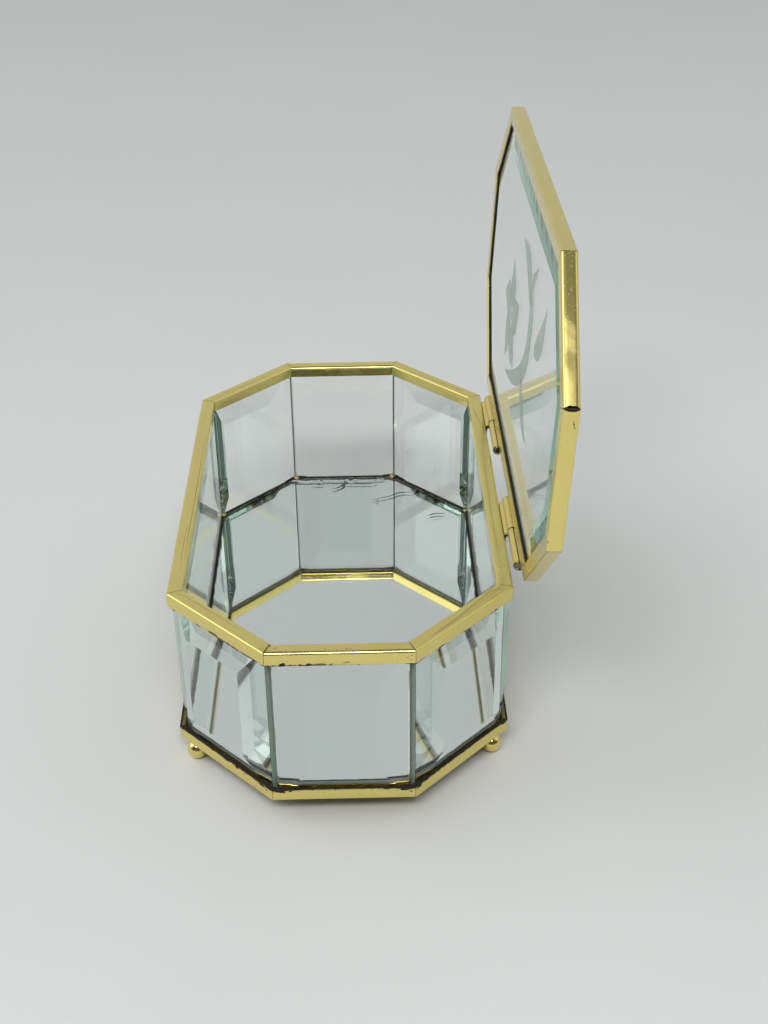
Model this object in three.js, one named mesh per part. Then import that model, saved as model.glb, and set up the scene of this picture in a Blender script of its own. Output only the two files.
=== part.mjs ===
// A long eight-sided trinket box: bevelled glass walls held top and bottom in brass channel, a mirror
// floor, four ball feet, and a bevelled glass lid on two tube hinges along one long side.
// Millimetres, +Z up, standing on the table at z = 0 with the lid open, hinge side towards +X.
import * as THREE from 'three';

// Box
const boxHalfWidth = 50;
const boxHalfLength = 90;
const cornerCut = 29.3;        // how far each corner is cut back along both sides
const boxHeight = 53.5;        // lower edge of the bottom rim to the top face of the top rim
const footHeight = 6;
const boxCentreX = -6.1;       // puts the open box's whole footprint in the middle of the frame

// Brass channel
const channelWidth = 4.6;
const outerLeg = 4.4;
const innerLeg = 3.9;
const brassWall = 0.5;
const bendRadius = 1;
const jointGap = 0.1;          // between two mitred lengths

// Wall glass
const wallThickness = 4;
const wallEdge = 1.5;          // thickness left at the bevelled edge
const wallInset = 3.9;         // outside of the box to the inner face of the glass
const bevelLow = 9.5;
const bevelHigh = 12;
const bevelSquare = 8.5;       // both ends of the four square-on panes
const bevelNear = 10;          // slanted panes: the end beside a short side
const bevelFar = 5.5;          // and the end beside a long side
const wallSeat = 0.7;          // glass edge above the channel's outer face
const paneGap = 0.3;

// Floor
const mirrorThickness = 1.6;
const mirrorInset = 4.1;
const mirrorClearance = 0.1;
const backingThickness = 0.8;
const backingInset = 4.9;
const backingGap = 0.15;

// Feet
const footRadius = 3.1;
const footCentreHeight = 2.95;
const footFromCorner = 3.8;    // along the slanted side from its corner, on the channel's middle line
const footSeatGap = 0.03;

// Lid
const lidHalfWidth = 50;
const lidHalfLength = 92;
const lidThickness = 4.4;
const lidFlange = 4.6;
const lidGap = 0.4;            // above the top rim when shut
const lidGlassThickness = 3.4;
const lidGlassEdge = 2.3;
const lidGlassBevel = 11;      // on the underside
const lidGlassInset = 0.9;
const lidGlassTop = 3.8;       // flat upper face, above the frame's underside
const lidOpenDegrees = 93;

// Hinges
const axisOut = 2.6;           // hinge line outside the rim
const axisUp = 0.7;            // hinge line above the rim's top face
const tubeRadius = 1.7;
const boreRadius = 0.9;
const pinRadius = 0.82;
const leafThickness = 0.5;
const leafGap = 0.03;
const leafTop = 0.2;           // leaf's near edge, back from the parting line
const leafDepth = 3.4;
const hingeLength = 36.8;
const hingeMiddles = [-32.5, 36.7];
const knuckleGap = 0.3;
const tubeFacets = 24;
const pinRecess = [0, 1.6];    // how far each pin stops short of its hinge's front end

const rimTop = footHeight + boxHeight;
const hingeAxis = new THREE.Vector3(boxHalfWidth + axisOut, 0, rimTop + axisUp);
const mitre = Math.tan(Math.PI / 8);
const up = new THREE.Vector3(0, 0, 1);
const sideNames = ['front', 'front_right', 'hinge_side', 'back_right',
  'back', 'back_left', 'left', 'front_left'];

const finishes = {
  brass: { color: 0xc9b768, roughness: 0.3, metalness: 1 },
  hingeBrass: { color: 0xb9a75c, roughness: 0.38, metalness: 1 },
  glass: { color: 0xbfd2c9, roughness: 0.04, metalness: 0 },
  mirror: { color: 0xc2cbce, roughness: 0.03, metalness: 1 },
  backing: { color: 0x2c2a2a, roughness: 0.9, metalness: 0 },
  steel: { color: 0x6d6c69, roughness: 0.4, metalness: 1 },
};

const whole = new THREE.Group();

function addPiece(name, finish, geometry, placing) {
  geometry.applyMatrix4(placing);
  const mesh = new THREE.Mesh(geometry, new THREE.MeshStandardMaterial(finishes[finish]));
  mesh.name = name;
  whole.add(mesh);
}

const ontoTable = new THREE.Matrix4().makeTranslation(boxCentreX, 0, 0);

// The lid is drawn shut and swung open about the hinge line.
const swungOpen = new THREE.Matrix4().makeTranslation(hingeAxis)
  .multiply(new THREE.Matrix4().makeRotationY(THREE.MathUtils.degToRad(lidOpenDegrees)))
  .multiply(new THREE.Matrix4().makeTranslation(hingeAxis.clone().negate()))
  .premultiply(ontoTable);

// Corners of the eight-sided outline, anticlockwise from the front side's left end
function corners(halfWidth, halfLength, inset = 0) {
  const x = halfWidth - inset;
  const y = halfLength - inset;
  const a = halfWidth - cornerCut - inset * mitre;
  const b = halfLength - cornerCut - inset * mitre;
  return [[-a, -y], [a, -y], [x, -b], [x, b], [a, y], [-a, y], [-x, b], [-x, -b]]
    .map(([cx, cy]) => new THREE.Vector2(cx, cy));
}

// Each side's start corner, length and directions
function sides(halfWidth, halfLength) {
  const points = corners(halfWidth, halfLength);
  return points.map((start, i) => {
    const run = points[(i + 1) % points.length].clone().sub(start);
    const along = new THREE.Vector3(run.x, run.y, 0).normalize();
    const inward = new THREE.Vector3(-along.y, along.x, 0);
    return { name: sideNames[i], start, length: run.length(), along, inward };
  });
}

// A U section with rounded bends: web along the top, legs hanging down
function channelSection(web, nearLeg, farLeg) {
  const section = new THREE.Shape();
  section.moveTo(0, -nearLeg);
  section.lineTo(brassWall, -nearLeg);
  section.lineTo(brassWall, -brassWall);
  section.lineTo(web - brassWall, -brassWall);
  section.lineTo(web - brassWall, -farLeg);
  section.lineTo(web, -farLeg);
  section.absarc(web - bendRadius, -bendRadius, bendRadius, 0, Math.PI / 2, false);
  section.absarc(bendRadius, -bendRadius, bendRadius, Math.PI / 2, Math.PI, false);
  return section.getPoints(4);
}

// Eight mitred lengths of channel round an outline; place turns a section point into [inset, height]
function addRim(prefix, halfWidth, halfLength, section, place, placing) {
  const shape = new THREE.Shape(section.map(({ x, y }) => new THREE.Vector2(...place(x, y))));
  for (const side of sides(halfWidth, halfLength)) {
    const geometry = new THREE.ExtrudeGeometry(shape, { depth: side.length, bevelEnabled: false });
    const spots = geometry.attributes.position;
    for (let i = 0; i < spots.count; i++) {
      const back = spots.getX(i) * mitre + jointGap / 2;
      const atEnd = spots.getZ(i) > side.length / 2;
      spots.setZ(i, atEnd ? side.length - back : back);
    }
    const spot = new THREE.Matrix4().makeBasis(side.inward, up, side.along)
      .setPosition(side.start.x, side.start.y, 0);
    addPiece(`${prefix}_${side.name}`, 'brass', geometry, spot.premultiply(placing));
  }
}

// A convex pane with a flat back at depth 0; its bevels stop at the ridge outline on its front face
function bevelledPane(outline, ridge, thickness, edge) {
  const count = outline.length;
  const spots = [];
  for (const [ring, depth] of [[outline, 0], [outline, edge], [ridge, thickness]]) {
    for (const point of ring) spots.push(point.x, point.y, depth);
  }
  const faces = [];
  for (let i = 0; i < count; i++) {
    const j = (i + 1) % count;
    for (const low of [0, count]) {
      const high = low + count;
      faces.push(low + i, low + j, high + j, low + i, high + j, high + i);
    }
    if (i > 0 && i < count - 1) {
      faces.push(0, i + 1, i, 2 * count, 2 * count + i, 2 * count + i + 1);
    }
  }
  const geometry = new THREE.BufferGeometry();
  geometry.setAttribute('position', new THREE.Float32BufferAttribute(spots, 3));
  geometry.setIndex(faces);
  geometry.computeVertexNormals();
  return geometry;
}

function rectangle(left, right, low, high) {
  return [[left, low], [right, low], [right, high], [left, high]]
    .map(([x, y]) => new THREE.Vector2(x, y));
}

// The panes' ends are cut square, so an open groove is left outside each corner.
function addWalls() {
  const height = boxHeight - 2 * wallSeat;
  sides(boxHalfWidth, boxHalfLength).forEach((side, i) => {
    const half = side.length / 2 - wallInset * mitre - paneGap / 2;
    const slanted = i % 2 === 1;
    const [first, last] = i % 4 === 1 ? [bevelNear, bevelFar] : [bevelFar, bevelNear];
    const left = slanted ? first : bevelSquare;
    const right = slanted ? last : bevelSquare;
    const geometry = bevelledPane(rectangle(-half, half, 0, height),
      rectangle(left - half, half - right, bevelLow, height - bevelHigh), wallThickness, wallEdge);
    const middle = new THREE.Vector3(side.start.x, side.start.y, footHeight + wallSeat)
      .addScaledVector(side.along, side.length / 2)
      .addScaledVector(side.inward, wallInset);
    const spot = new THREE.Matrix4().makeBasis(side.along, up, side.inward.clone().negate())
      .setPosition(middle);
    addPiece(`wall_glass_${side.name}`, 'glass', geometry, spot.premultiply(ontoTable));
  });
}

function addPlate(name, finish, inset, low, thickness) {
  const shape = new THREE.Shape(corners(boxHalfWidth, boxHalfLength, inset));
  const geometry = new THREE.ExtrudeGeometry(shape, { depth: thickness, bevelEnabled: false });
  geometry.translate(0, 0, low);
  addPiece(name, finish, geometry, ontoTable);
}

// Balls with a small worn flat below and a soldered seat above
function addFeet() {
  const low = Math.asin(-footCentreHeight / footRadius);
  const high = Math.asin((footHeight - footSeatGap - footCentreHeight) / footRadius);
  const profile = [new THREE.Vector2(0, 0)];
  const steps = 14;
  for (let i = 0; i <= steps; i++) {
    const turn = low + (high - low) * i / steps;
    profile.push(new THREE.Vector2(footRadius * Math.cos(turn),
      footCentreHeight + footRadius * Math.sin(turn)));
  }
  profile.push(new THREE.Vector2(0, footHeight - footSeatGap));
  const corner = corners(boxHalfWidth, boxHalfLength, channelWidth / 2)[3];
  const x = corner.x - footFromCorner * Math.SQRT1_2;
  const y = corner.y + footFromCorner * Math.SQRT1_2;
  const spots = { front_left: [-x, -y], front_right: [x, -y], back_right: [x, y], back_left: [-x, y] };
  for (const [name, [footX, footY]] of Object.entries(spots)) {
    const geometry = new THREE.LatheGeometry(profile, 28).rotateX(Math.PI / 2);
    geometry.translate(footX, footY, 0);
    addPiece(`foot_${name}`, 'brass', geometry, ontoTable);
  }
}

// A rolled tube with its leaf running down (towards -1) or up (towards 1) the rim
function knuckleSection(towards) {
  const back = -axisOut + leafGap;
  const front = back + leafThickness;
  const parting = towards > 0 ? lidGap - axisUp : axisUp;
  const near = towards * (parting + leafTop);
  const far = near + towards * leafDepth;
  const neckTurn = Math.PI - towards * 0.18;
  const leafTurn = Math.PI - towards * 0.85;
  const section = new THREE.Shape();
  section.moveTo(back, near);
  section.lineTo(back, far);
  section.lineTo(front, far);
  section.lineTo(front, near + towards * 1.1);
  section.absarc(0, 0, tubeRadius, leafTurn, neckTurn, towards > 0);
  const outline = section.getPoints(tubeFacets);
  if (THREE.ShapeUtils.isClockWise(outline)) outline.reverse();
  const rolled = new THREE.Shape(outline);
  const bore = Array.from({ length: tubeFacets }, (_, i) => {
    const turn = -2 * Math.PI * i / tubeFacets;
    return new THREE.Vector2(boreRadius * Math.cos(turn), boreRadius * Math.sin(turn));
  });
  rolled.holes.push(new THREE.Path(bore));
  return rolled;
}

function addHinges() {
  const alongHinge = new THREE.Matrix4().makeBasis(
    new THREE.Vector3(1, 0, 0), up, new THREE.Vector3(0, -1, 0));
  const knuckle = (hingeLength - knuckleGap) / 2;
  hingeMiddles.forEach((middle, i) => {
    const name = ['front', 'back'][i];
    const place = (geometry, farEnd) => geometry.applyMatrix4(alongHinge)
      .translate(hingeAxis.x, farEnd, hingeAxis.z);
    const roll = (towards) => new THREE.ExtrudeGeometry(knuckleSection(towards),
      { depth: knuckle, bevelEnabled: false });
    addPiece(`hinge_${name}_lid_knuckle`, 'hingeBrass',
      place(roll(1), middle - knuckleGap / 2), swungOpen);
    addPiece(`hinge_${name}_box_knuckle`, 'hingeBrass',
      place(roll(-1), middle + hingeLength / 2), ontoTable);
    const length = hingeLength - pinRecess[i] - pinRecess[1];
    const pin = new THREE.CylinderGeometry(pinRadius, pinRadius, length, 20);
    pin.translate(hingeAxis.x, middle + (pinRecess[i] - pinRecess[1]) / 2, hingeAxis.z);
    addPiece(`hinge_${name}_pin`, 'steel', pin, ontoTable);
  });
}

function addLid() {
  const low = rimTop + lidGap;
  addRim('lid_frame', lidHalfWidth, lidHalfLength, channelSection(lidThickness, lidFlange, lidFlange),
    (x, y) => [-y, low + x], swungOpen);
  const outline = corners(lidHalfWidth, lidHalfLength, lidGlassInset);
  const ridge = corners(lidHalfWidth, lidHalfLength, lidGlassInset + lidGlassBevel);
  const pane = bevelledPane(outline, ridge, lidGlassThickness, lidGlassEdge);
  pane.rotateX(Math.PI);
  pane.translate(0, 0, low + lidGlassTop);
  addPiece('lid_glass', 'glass', pane, swungOpen);
}

const rimSection = channelSection(channelWidth, outerLeg, innerLeg);
addRim('top_rim', boxHalfWidth, boxHalfLength, rimSection, (x, y) => [x, rimTop + y], ontoTable);
addRim('bottom_rim', boxHalfWidth, boxHalfLength, rimSection, (x, y) => [x, footHeight - y], ontoTable);
addWalls();
const mirrorLow = footHeight + innerLeg + mirrorClearance;
addPlate('mirror_floor', 'mirror', mirrorInset, mirrorLow, mirrorThickness);
addPlate('floor_backing', 'backing', backingInset,
  mirrorLow - backingGap - backingThickness, backingThickness);
addFeet();
addHinges();
addLid();

export default whole;
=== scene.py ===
import math
import random

import bmesh
import bpy
from mathutils import Matrix, Vector, noise


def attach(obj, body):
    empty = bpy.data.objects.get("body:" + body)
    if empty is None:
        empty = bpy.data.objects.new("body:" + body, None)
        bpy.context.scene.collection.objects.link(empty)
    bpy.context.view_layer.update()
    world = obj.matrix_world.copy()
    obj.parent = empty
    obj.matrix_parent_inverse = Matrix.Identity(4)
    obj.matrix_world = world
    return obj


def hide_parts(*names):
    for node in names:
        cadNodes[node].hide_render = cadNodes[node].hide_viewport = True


# Long eight-sided trinket box: bevelled glass in brass channel, mirror floor, ball feet, glass lid.
# Every length in the dictionaries is in millimetres; mm turns it into metres.

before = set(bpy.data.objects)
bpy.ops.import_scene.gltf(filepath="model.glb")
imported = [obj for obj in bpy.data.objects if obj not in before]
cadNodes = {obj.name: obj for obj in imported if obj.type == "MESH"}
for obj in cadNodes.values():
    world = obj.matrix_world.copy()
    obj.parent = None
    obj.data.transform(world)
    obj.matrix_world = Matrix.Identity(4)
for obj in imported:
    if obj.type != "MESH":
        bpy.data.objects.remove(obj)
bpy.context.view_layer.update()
scene = bpy.context.scene
mm = 0.001
mitre = math.tan(math.pi / 8)

boxPlan = {
    "halfWidth": 50.0,
    "halfLength": 90.0,
    "cornerCut": 29.3,
    "centreX": -6.1,
    "rimFoot": 6.0,      # lower edge of the bottom rim
    "rimTop": 59.5,      # upper face of the top rim
}
lidPlan = {
    "halfWidth": 50.0,
    "halfLength": 92.0,
    "cornerCut": 29.3,
    "low": 59.9,         # underside when shut
    "openDegrees": 93.0,
    "axisX": 52.6,
    "axisZ": 60.2,
}
sideNames = ["front", "front_right", "hinge_side", "back_right", "back", "back_left", "left", "front_left"]

ontoTable = Matrix.Translation((boxPlan["centreX"] * mm, 0, 0))
hingePoint = Vector((lidPlan["axisX"], 0, lidPlan["axisZ"])) * mm
swungOpen = (ontoTable @ Matrix.Translation(hingePoint)
             @ Matrix.Rotation(math.radians(lidPlan["openDegrees"]), 4, "Y")
             @ Matrix.Translation(-hingePoint))


# Camera, floor and light

viewPoint = {
    "place": (1.272, -399.7, 295.5),
    "yaw": 0.0163,
    "pitch": -0.5541,
    "roll": -0.0107,
    "lens": 50.41,
}


def makeCamera():
    yaw, pitch, roll = viewPoint["yaw"], viewPoint["pitch"], viewPoint["roll"]
    ahead = Vector((math.sin(yaw) * math.cos(pitch), math.cos(yaw) * math.cos(pitch), math.sin(pitch)))
    level = ahead.cross(Vector((0, 0, 1))).normalized()
    above = level.cross(ahead)
    right = level * math.cos(roll) + above * math.sin(roll)
    upward = above * math.cos(roll) - level * math.sin(roll)
    data = bpy.data.cameras.new("viewCamera")
    data.lens = viewPoint["lens"]
    data.sensor_width = 36.0
    data.clip_start = 0.01
    camera = bpy.data.objects.new("viewCamera", data)
    turn = Matrix((right, upward, -ahead)).transposed().to_4x4()
    camera.matrix_world = Matrix.Translation(Vector(viewPoint["place"]) * mm) @ turn
    scene.collection.objects.link(camera)
    scene.camera = camera


lightPlan = {
    "keyPlace": (-0.12, -0.83, 1.14),
    "keySize": (0.95, 0.32),
    "keyPower": 8.9,
    "wall": 0.60,            # pale studio wall round the table
    "leftGain": 0.14,        # more on the left, less on the right
    "ceiling": 0.17,
    "behindCamera": 0.10,    # unlit end of the room
    "seenWall": 0.58,
    "lobeToward": (0.70, 0.20, 0.68),   # broad pale patches of ceiling, up on both sides
    "lobeGain": 0.70,
    "lobeLean": 0.36,        # the left patch is the brighter one
    "lobeEdge": (0.76, 0.96),
    "cameraEnd": (-0.06, -0.32),        # where each part of the room fades into the next
    "tableEdge": (0.02, 0.14),
    "ceilingEdge": (0.69, 0.87),
    "tint": (0.965, 0.985, 1.0),
}


def makeAreaLight(name, place, size, power):
    data = bpy.data.lights.new(name, "AREA")
    data.shape = "RECTANGLE"
    data.size, data.size_y = size
    data.energy = power
    lamp = bpy.data.objects.new(name, data)
    lamp.location = place
    aim = Vector((0, 0, 0.05)) - Vector(place)
    lamp.rotation_euler = aim.to_track_quat("-Z", "Y").to_euler()
    scene.collection.objects.link(lamp)
    return lamp


def put(tree, kind, spot, **settings):
    node = tree.nodes.new(kind)
    node.location = spot
    for key, value in settings.items():
        setattr(node, key, value)
    return node


def ranged(tree, source, spot, low, high, newLow=0.0, newHigh=1.0, smooth=False):
    node = put(tree, "ShaderNodeMapRange", spot)
    node.interpolation_type = "SMOOTHSTEP" if smooth else "LINEAR"
    for name, value in (("From Min", low), ("From Max", high), ("To Min", newLow), ("To Max", newHigh)):
        node.inputs[name].default_value = value
    tree.links.new(source, node.inputs["Value"])
    return node.outputs["Result"]


def calculated(tree, operation, spot, first, second):
    node = put(tree, "ShaderNodeMath", spot, operation=operation)
    for socket, value in zip(node.inputs, (first, second)):
        if hasattr(value, "is_output"):
            tree.links.new(value, socket)
        else:
            socket.default_value = value
    return node.outputs[0]


def makeSurroundings():
    world = bpy.data.worlds.new("studio")
    scene.world = world
    world.use_nodes = True
    tree = world.node_tree
    tree.nodes.clear()
    where = put(tree, "ShaderNodeTexCoord", (-1200, 0))
    split = put(tree, "ShaderNodeSeparateXYZ", (-1000, 0))
    tree.links.new(where.outputs["Generated"], split.inputs[0])
    height = split.outputs["Z"]
    wall = calculated(tree, "MULTIPLY_ADD", (-800, 300), split.outputs["X"], -lightPlan["leftGain"])
    wall.node.inputs[2].default_value = lightPlan["wall"]
    towardsCamera = ranged(tree, split.outputs["Y"], (-800, 0), *lightPlan["cameraEnd"], smooth=True)
    offTable = ranged(tree, height, (-800, -250), *lightPlan["tableEdge"], smooth=True)
    dark = calculated(tree, "MULTIPLY", (-600, -100), towardsCamera, offTable)
    room = put(tree, "ShaderNodeMix", (-400, 100), data_type="FLOAT")
    tree.links.new(dark, room.inputs[0])
    tree.links.new(wall, room.inputs[2])
    room.inputs[3].default_value = lightPlan["behindCamera"]
    toCeiling = ranged(tree, height, (-800, -500), *lightPlan["ceilingEdge"], smooth=True)
    mix = put(tree, "ShaderNodeMix", (-200, 0), data_type="FLOAT")
    tree.links.new(toCeiling, mix.inputs[0])
    tree.links.new(room.outputs[0], mix.inputs[2])
    mix.inputs[3].default_value = lightPlan["ceiling"]
    aligned = put(tree, "ShaderNodeVectorMath", (-800, -750), operation="DOT_PRODUCT")
    mirrored = put(tree, "ShaderNodeVectorMath", (-1000, -750), operation="ABSOLUTE")
    signed = put(tree, "ShaderNodeCombineXYZ", (-900, -900))
    tree.links.new(where.outputs["Generated"], mirrored.inputs[0])
    eachWay = put(tree, "ShaderNodeSeparateXYZ", (-1000, -900))
    tree.links.new(mirrored.outputs[0], eachWay.inputs[0])
    tree.links.new(eachWay.outputs["X"], signed.inputs["X"])
    tree.links.new(split.outputs["Y"], signed.inputs["Y"])
    tree.links.new(height, signed.inputs["Z"])
    tree.links.new(signed.outputs[0], aligned.inputs[0])
    aligned.inputs[1].default_value = lightPlan["lobeToward"]
    lobe = ranged(tree, aligned.outputs["Value"], (-600, -750), *lightPlan["lobeEdge"], smooth=True)
    leaning = calculated(tree, "MULTIPLY_ADD", (-400, -900), split.outputs["X"], -lightPlan["lobeLean"])
    leaning.node.inputs[2].default_value = lightPlan["lobeGain"]
    total = calculated(tree, "MULTIPLY_ADD", (-100, -400), lobe, leaning)
    tree.links.new(mix.outputs[0], total.node.inputs[2])
    path = put(tree, "ShaderNodeLightPath", (-200, 400))
    seen = put(tree, "ShaderNodeMix", (0, 0), data_type="FLOAT")
    tree.links.new(path.outputs["Is Camera Ray"], seen.inputs[0])
    tree.links.new(total, seen.inputs[2])
    seen.inputs[3].default_value = lightPlan["seenWall"]
    glow = put(tree, "ShaderNodeBackground", (200, 0))
    glow.inputs["Color"].default_value = (*lightPlan["tint"], 1)
    tree.links.new(seen.outputs[0], glow.inputs["Strength"])
    out = put(tree, "ShaderNodeOutputWorld", (400, 0))
    tree.links.new(glow.outputs[0], out.inputs[0])


# Shared shader groups

def startGroup(name, inputs, outputs):
    group = bpy.data.node_groups.new(name, "ShaderNodeTree")
    for label, kind, value in inputs:
        socket = group.interface.new_socket(label, in_out="INPUT", socket_type=kind)
        if value is not None:
            socket.default_value = value
    for label, kind in outputs:
        group.interface.new_socket(label, in_out="OUTPUT", socket_type=kind)
    entry = put(group, "NodeGroupInput", (-900, 0))
    leave = put(group, "NodeGroupOutput", (700, 0))
    return group, entry.outputs, leave.inputs


def makeSpottedGroup():
    # Plating lost near an edge: more of it close to the edge, broken up at two scales
    group, given, result = startGroup("platingLoss", [
        ("Edge Distance", "NodeSocketFloat", 1.0),
        ("Amount", "NodeSocketFloat", 0.0),
        ("Reach", "NodeSocketFloat", 1.2),
        ("Scale", "NodeSocketFloat", 900.0),
    ], [("Mask", "NodeSocketFloat"), ("Halo", "NodeSocketFloat")])
    where = put(group, "ShaderNodeTexCoord", (-900, -300))
    coarse = put(group, "ShaderNodeTexNoise", (-650, -150))
    coarse.inputs["Detail"].default_value = 6.0
    coarse.inputs["Roughness"].default_value = 0.68
    group.links.new(where.outputs["Object"], coarse.inputs["Vector"])
    group.links.new(given["Scale"], coarse.inputs["Scale"])
    near = put(group, "ShaderNodeMapRange", (-650, 150))
    near.inputs["From Min"].default_value = 0.0
    near.inputs["To Min"].default_value = 1.0
    near.inputs["To Max"].default_value = 0.0
    group.links.new(given["Edge Distance"], near.inputs["Value"])
    group.links.new(given["Reach"], near.inputs["From Max"])
    lift = calculated(group, "MULTIPLY", (-400, 150), near.outputs["Result"], given["Amount"])
    broken = calculated(group, "MULTIPLY", (-400, -150), coarse.outputs["Fac"], 0.9)
    level = calculated(group, "ADD", (-200, 0), lift, broken)
    mask = ranged(group, level, (100, 100), 0.90, 0.95)
    halo = ranged(group, level, (100, -150), 0.70, 0.95)
    group.links.new(mask, result["Mask"])
    group.links.new(halo, result["Halo"])
    return group


def makeGrainGroup():
    # Fine drawn lines along a strip, from its own length and width coordinates
    group, given, result = startGroup("drawnGrain", [
        ("Along", "NodeSocketFloat", 40.0),
        ("Across", "NodeSocketFloat", 2600.0),
    ], [("Height", "NodeSocketFloat"), ("Fine", "NodeSocketFloat")])
    where = put(group, "ShaderNodeUVMap", (-900, -250))
    split = put(group, "ShaderNodeSeparateXYZ", (-700, -250))
    group.links.new(where.outputs["UV"], split.inputs[0])
    lengthwise = calculated(group, "MULTIPLY", (-500, -150), split.outputs["X"], given["Along"])
    crosswise = calculated(group, "MULTIPLY", (-500, -350), split.outputs["Y"], given["Across"])
    join = put(group, "ShaderNodeCombineXYZ", (-300, -250))
    group.links.new(lengthwise, join.inputs["X"])
    group.links.new(crosswise, join.inputs["Y"])
    lines = put(group, "ShaderNodeTexNoise", (-100, -250))
    lines.inputs["Scale"].default_value = 1.0
    lines.inputs["Detail"].default_value = 4.0
    group.links.new(join.outputs[0], lines.inputs["Vector"])
    group.links.new(lines.outputs["Fac"], result["Height"])
    group.links.new(ranged(group, lines.outputs["Fac"], (150, -350), 0.3, 0.7), result["Fine"])
    return group


def makeHandledGroup():
    # Cloudy handling marks and a little dust, for anything polished
    group, given, result = startGroup("handledHaze", [
        ("Scale", "NodeSocketFloat", 60.0),
        ("Amount", "NodeSocketFloat", 1.0),
    ], [("Haze", "NodeSocketFloat"), ("Cloud", "NodeSocketFloat"), ("Dust", "NodeSocketFloat")])
    where = put(group, "ShaderNodeTexCoord", (-900, -300))
    cloud = put(group, "ShaderNodeTexNoise", (-600, 0))
    cloud.inputs["Detail"].default_value = 3.0
    cloud.inputs["Distortion"].default_value = 0.6
    group.links.new(where.outputs["Object"], cloud.inputs["Vector"])
    group.links.new(given["Scale"], cloud.inputs["Scale"])
    soft = ranged(group, cloud.outputs["Fac"], (-350, 0), 0.48, 0.75, smooth=True)
    group.links.new(calculated(group, "MULTIPLY", (-100, 0), soft, given["Amount"]), result["Haze"])
    group.links.new(cloud.outputs["Fac"], result["Cloud"])
    specks = put(group, "ShaderNodeTexVoronoi", (-600, -400))
    specks.inputs["Scale"].default_value = 700.0
    group.links.new(where.outputs["Object"], specks.inputs["Vector"])
    dots = ranged(group, specks.outputs["Distance"], (-350, -400), 0.10, 0.05)
    group.links.new(calculated(group, "MULTIPLY", (-100, -400), dots, given["Amount"]), result["Dust"])
    return group


platingLoss = makeSpottedGroup()
drawnGrain = makeGrainGroup()
handledHaze = makeHandledGroup()
print("shared shader groups made")


# Materials

def startMaterial(name):
    material = bpy.data.materials.new(name)
    material.use_nodes = True
    tree = material.node_tree
    tree.nodes.clear()
    out = put(tree, "ShaderNodeOutputMaterial", (900, 0))
    surface = put(tree, "ShaderNodeBsdfPrincipled", (600, 0))
    tree.links.new(surface.outputs["BSDF"], out.inputs["Surface"])
    return material, tree, surface, out


def useGroup(tree, group, spot, **values):
    node = put(tree, "ShaderNodeGroup", spot)
    node.node_tree = group
    for label, value in values.items():
        socket = node.inputs[label.replace("_", " ")]
        if hasattr(value, "is_output"):
            tree.links.new(value, socket)
        else:
            socket.default_value = value
    return node.outputs


def blendColours(tree, spot, amount, first, second):
    node = put(tree, "ShaderNodeMix", spot, data_type="RGBA")
    for socket, value in ((node.inputs[0], amount), (node.inputs[6], first), (node.inputs[7], second)):
        if hasattr(value, "is_output"):
            tree.links.new(value, socket)
        elif isinstance(value, float):
            socket.default_value = value
        else:
            socket.default_value = (*value, 1)
    return node.outputs[2]


def readValue(tree, name, spot):
    return put(tree, "ShaderNodeAttribute", spot, attribute_name=name).outputs["Fac"]


brassLook = {
    "bright": (0.86, 0.73, 0.27),
    "deep": (0.76, 0.63, 0.20),
    "tarnish": (0.33, 0.22, 0.07),
    "bare": (0.018, 0.014, 0.010),
    "roughness": (0.17, 0.30),
    "lossReach": 1.4,
    "lossScale": 1100.0,
    "halo": 0.45,        # tarnish round the lost plating
    "lostRoughness": 0.85,
    "grainHeight": 0.25,
}


def makeBrass(name, look, grainAlong=40.0, wear=True):
    material, tree, surface, _ = startMaterial(name)
    haze = useGroup(tree, handledHaze, (-900, 200), Scale=70.0, Amount=1.0)
    grain = useGroup(tree, drawnGrain, (-900, -250), Along=grainAlong, Across=2600.0)
    tone = blendColours(tree, (-500, 300), haze["Cloud"], look["deep"], look["bright"])
    low, high = look["roughness"]
    rough = ranged(tree, haze["Haze"], (-500, 0), 0, 1, low, high)
    height = calculated(tree, "MULTIPLY", (-500, -250), grain["Height"], look["grainHeight"])
    if wear:
        spoil = readValue(tree, "spoil", (-1300, 100))
        edge = readValue(tree, "edgeDistance", (-1300, -100))
        loss = useGroup(tree, platingLoss, (-900, 500), Edge_Distance=edge, Amount=spoil,
                        Reach=look["lossReach"], Scale=look["lossScale"])
        halo = calculated(tree, "MULTIPLY", (-500, 500), loss["Halo"], look["halo"])
        tone = blendColours(tree, (-250, 350), halo, tone, look["tarnish"])
        tone = blendColours(tree, (0, 350), loss["Mask"], tone, look["bare"])
        metal = calculated(tree, "SUBTRACT", (0, 150), 1.0, loss["Mask"])
        tree.links.new(metal, surface.inputs["Metallic"])
        dull = calculated(tree, "MULTIPLY", (-250, 0), loss["Mask"], look["lostRoughness"])
        rough = calculated(tree, "MAXIMUM", (0, 0), rough, dull)
        height = calculated(tree, "SUBTRACT", (-250, -250), height, loss["Mask"])
    else:
        surface.inputs["Metallic"].default_value = 1.0
    tree.links.new(tone, surface.inputs["Base Color"])
    tree.links.new(rough, surface.inputs["Roughness"])
    bump = put(tree, "ShaderNodeBump", (250, -250))
    bump.inputs["Strength"].default_value = 0.35
    bump.inputs["Distance"].default_value = 0.00004
    tree.links.new(height, bump.inputs["Height"])
    tree.links.new(bump.outputs["Normal"], surface.inputs["Normal"])
    return material


glassLook = {
    "ior": 1.52,
    "absorb": (0.14, 0.62, 0.42),
    "density": 12.0,
    "roughness": (0.0, 0.035),
}


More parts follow.
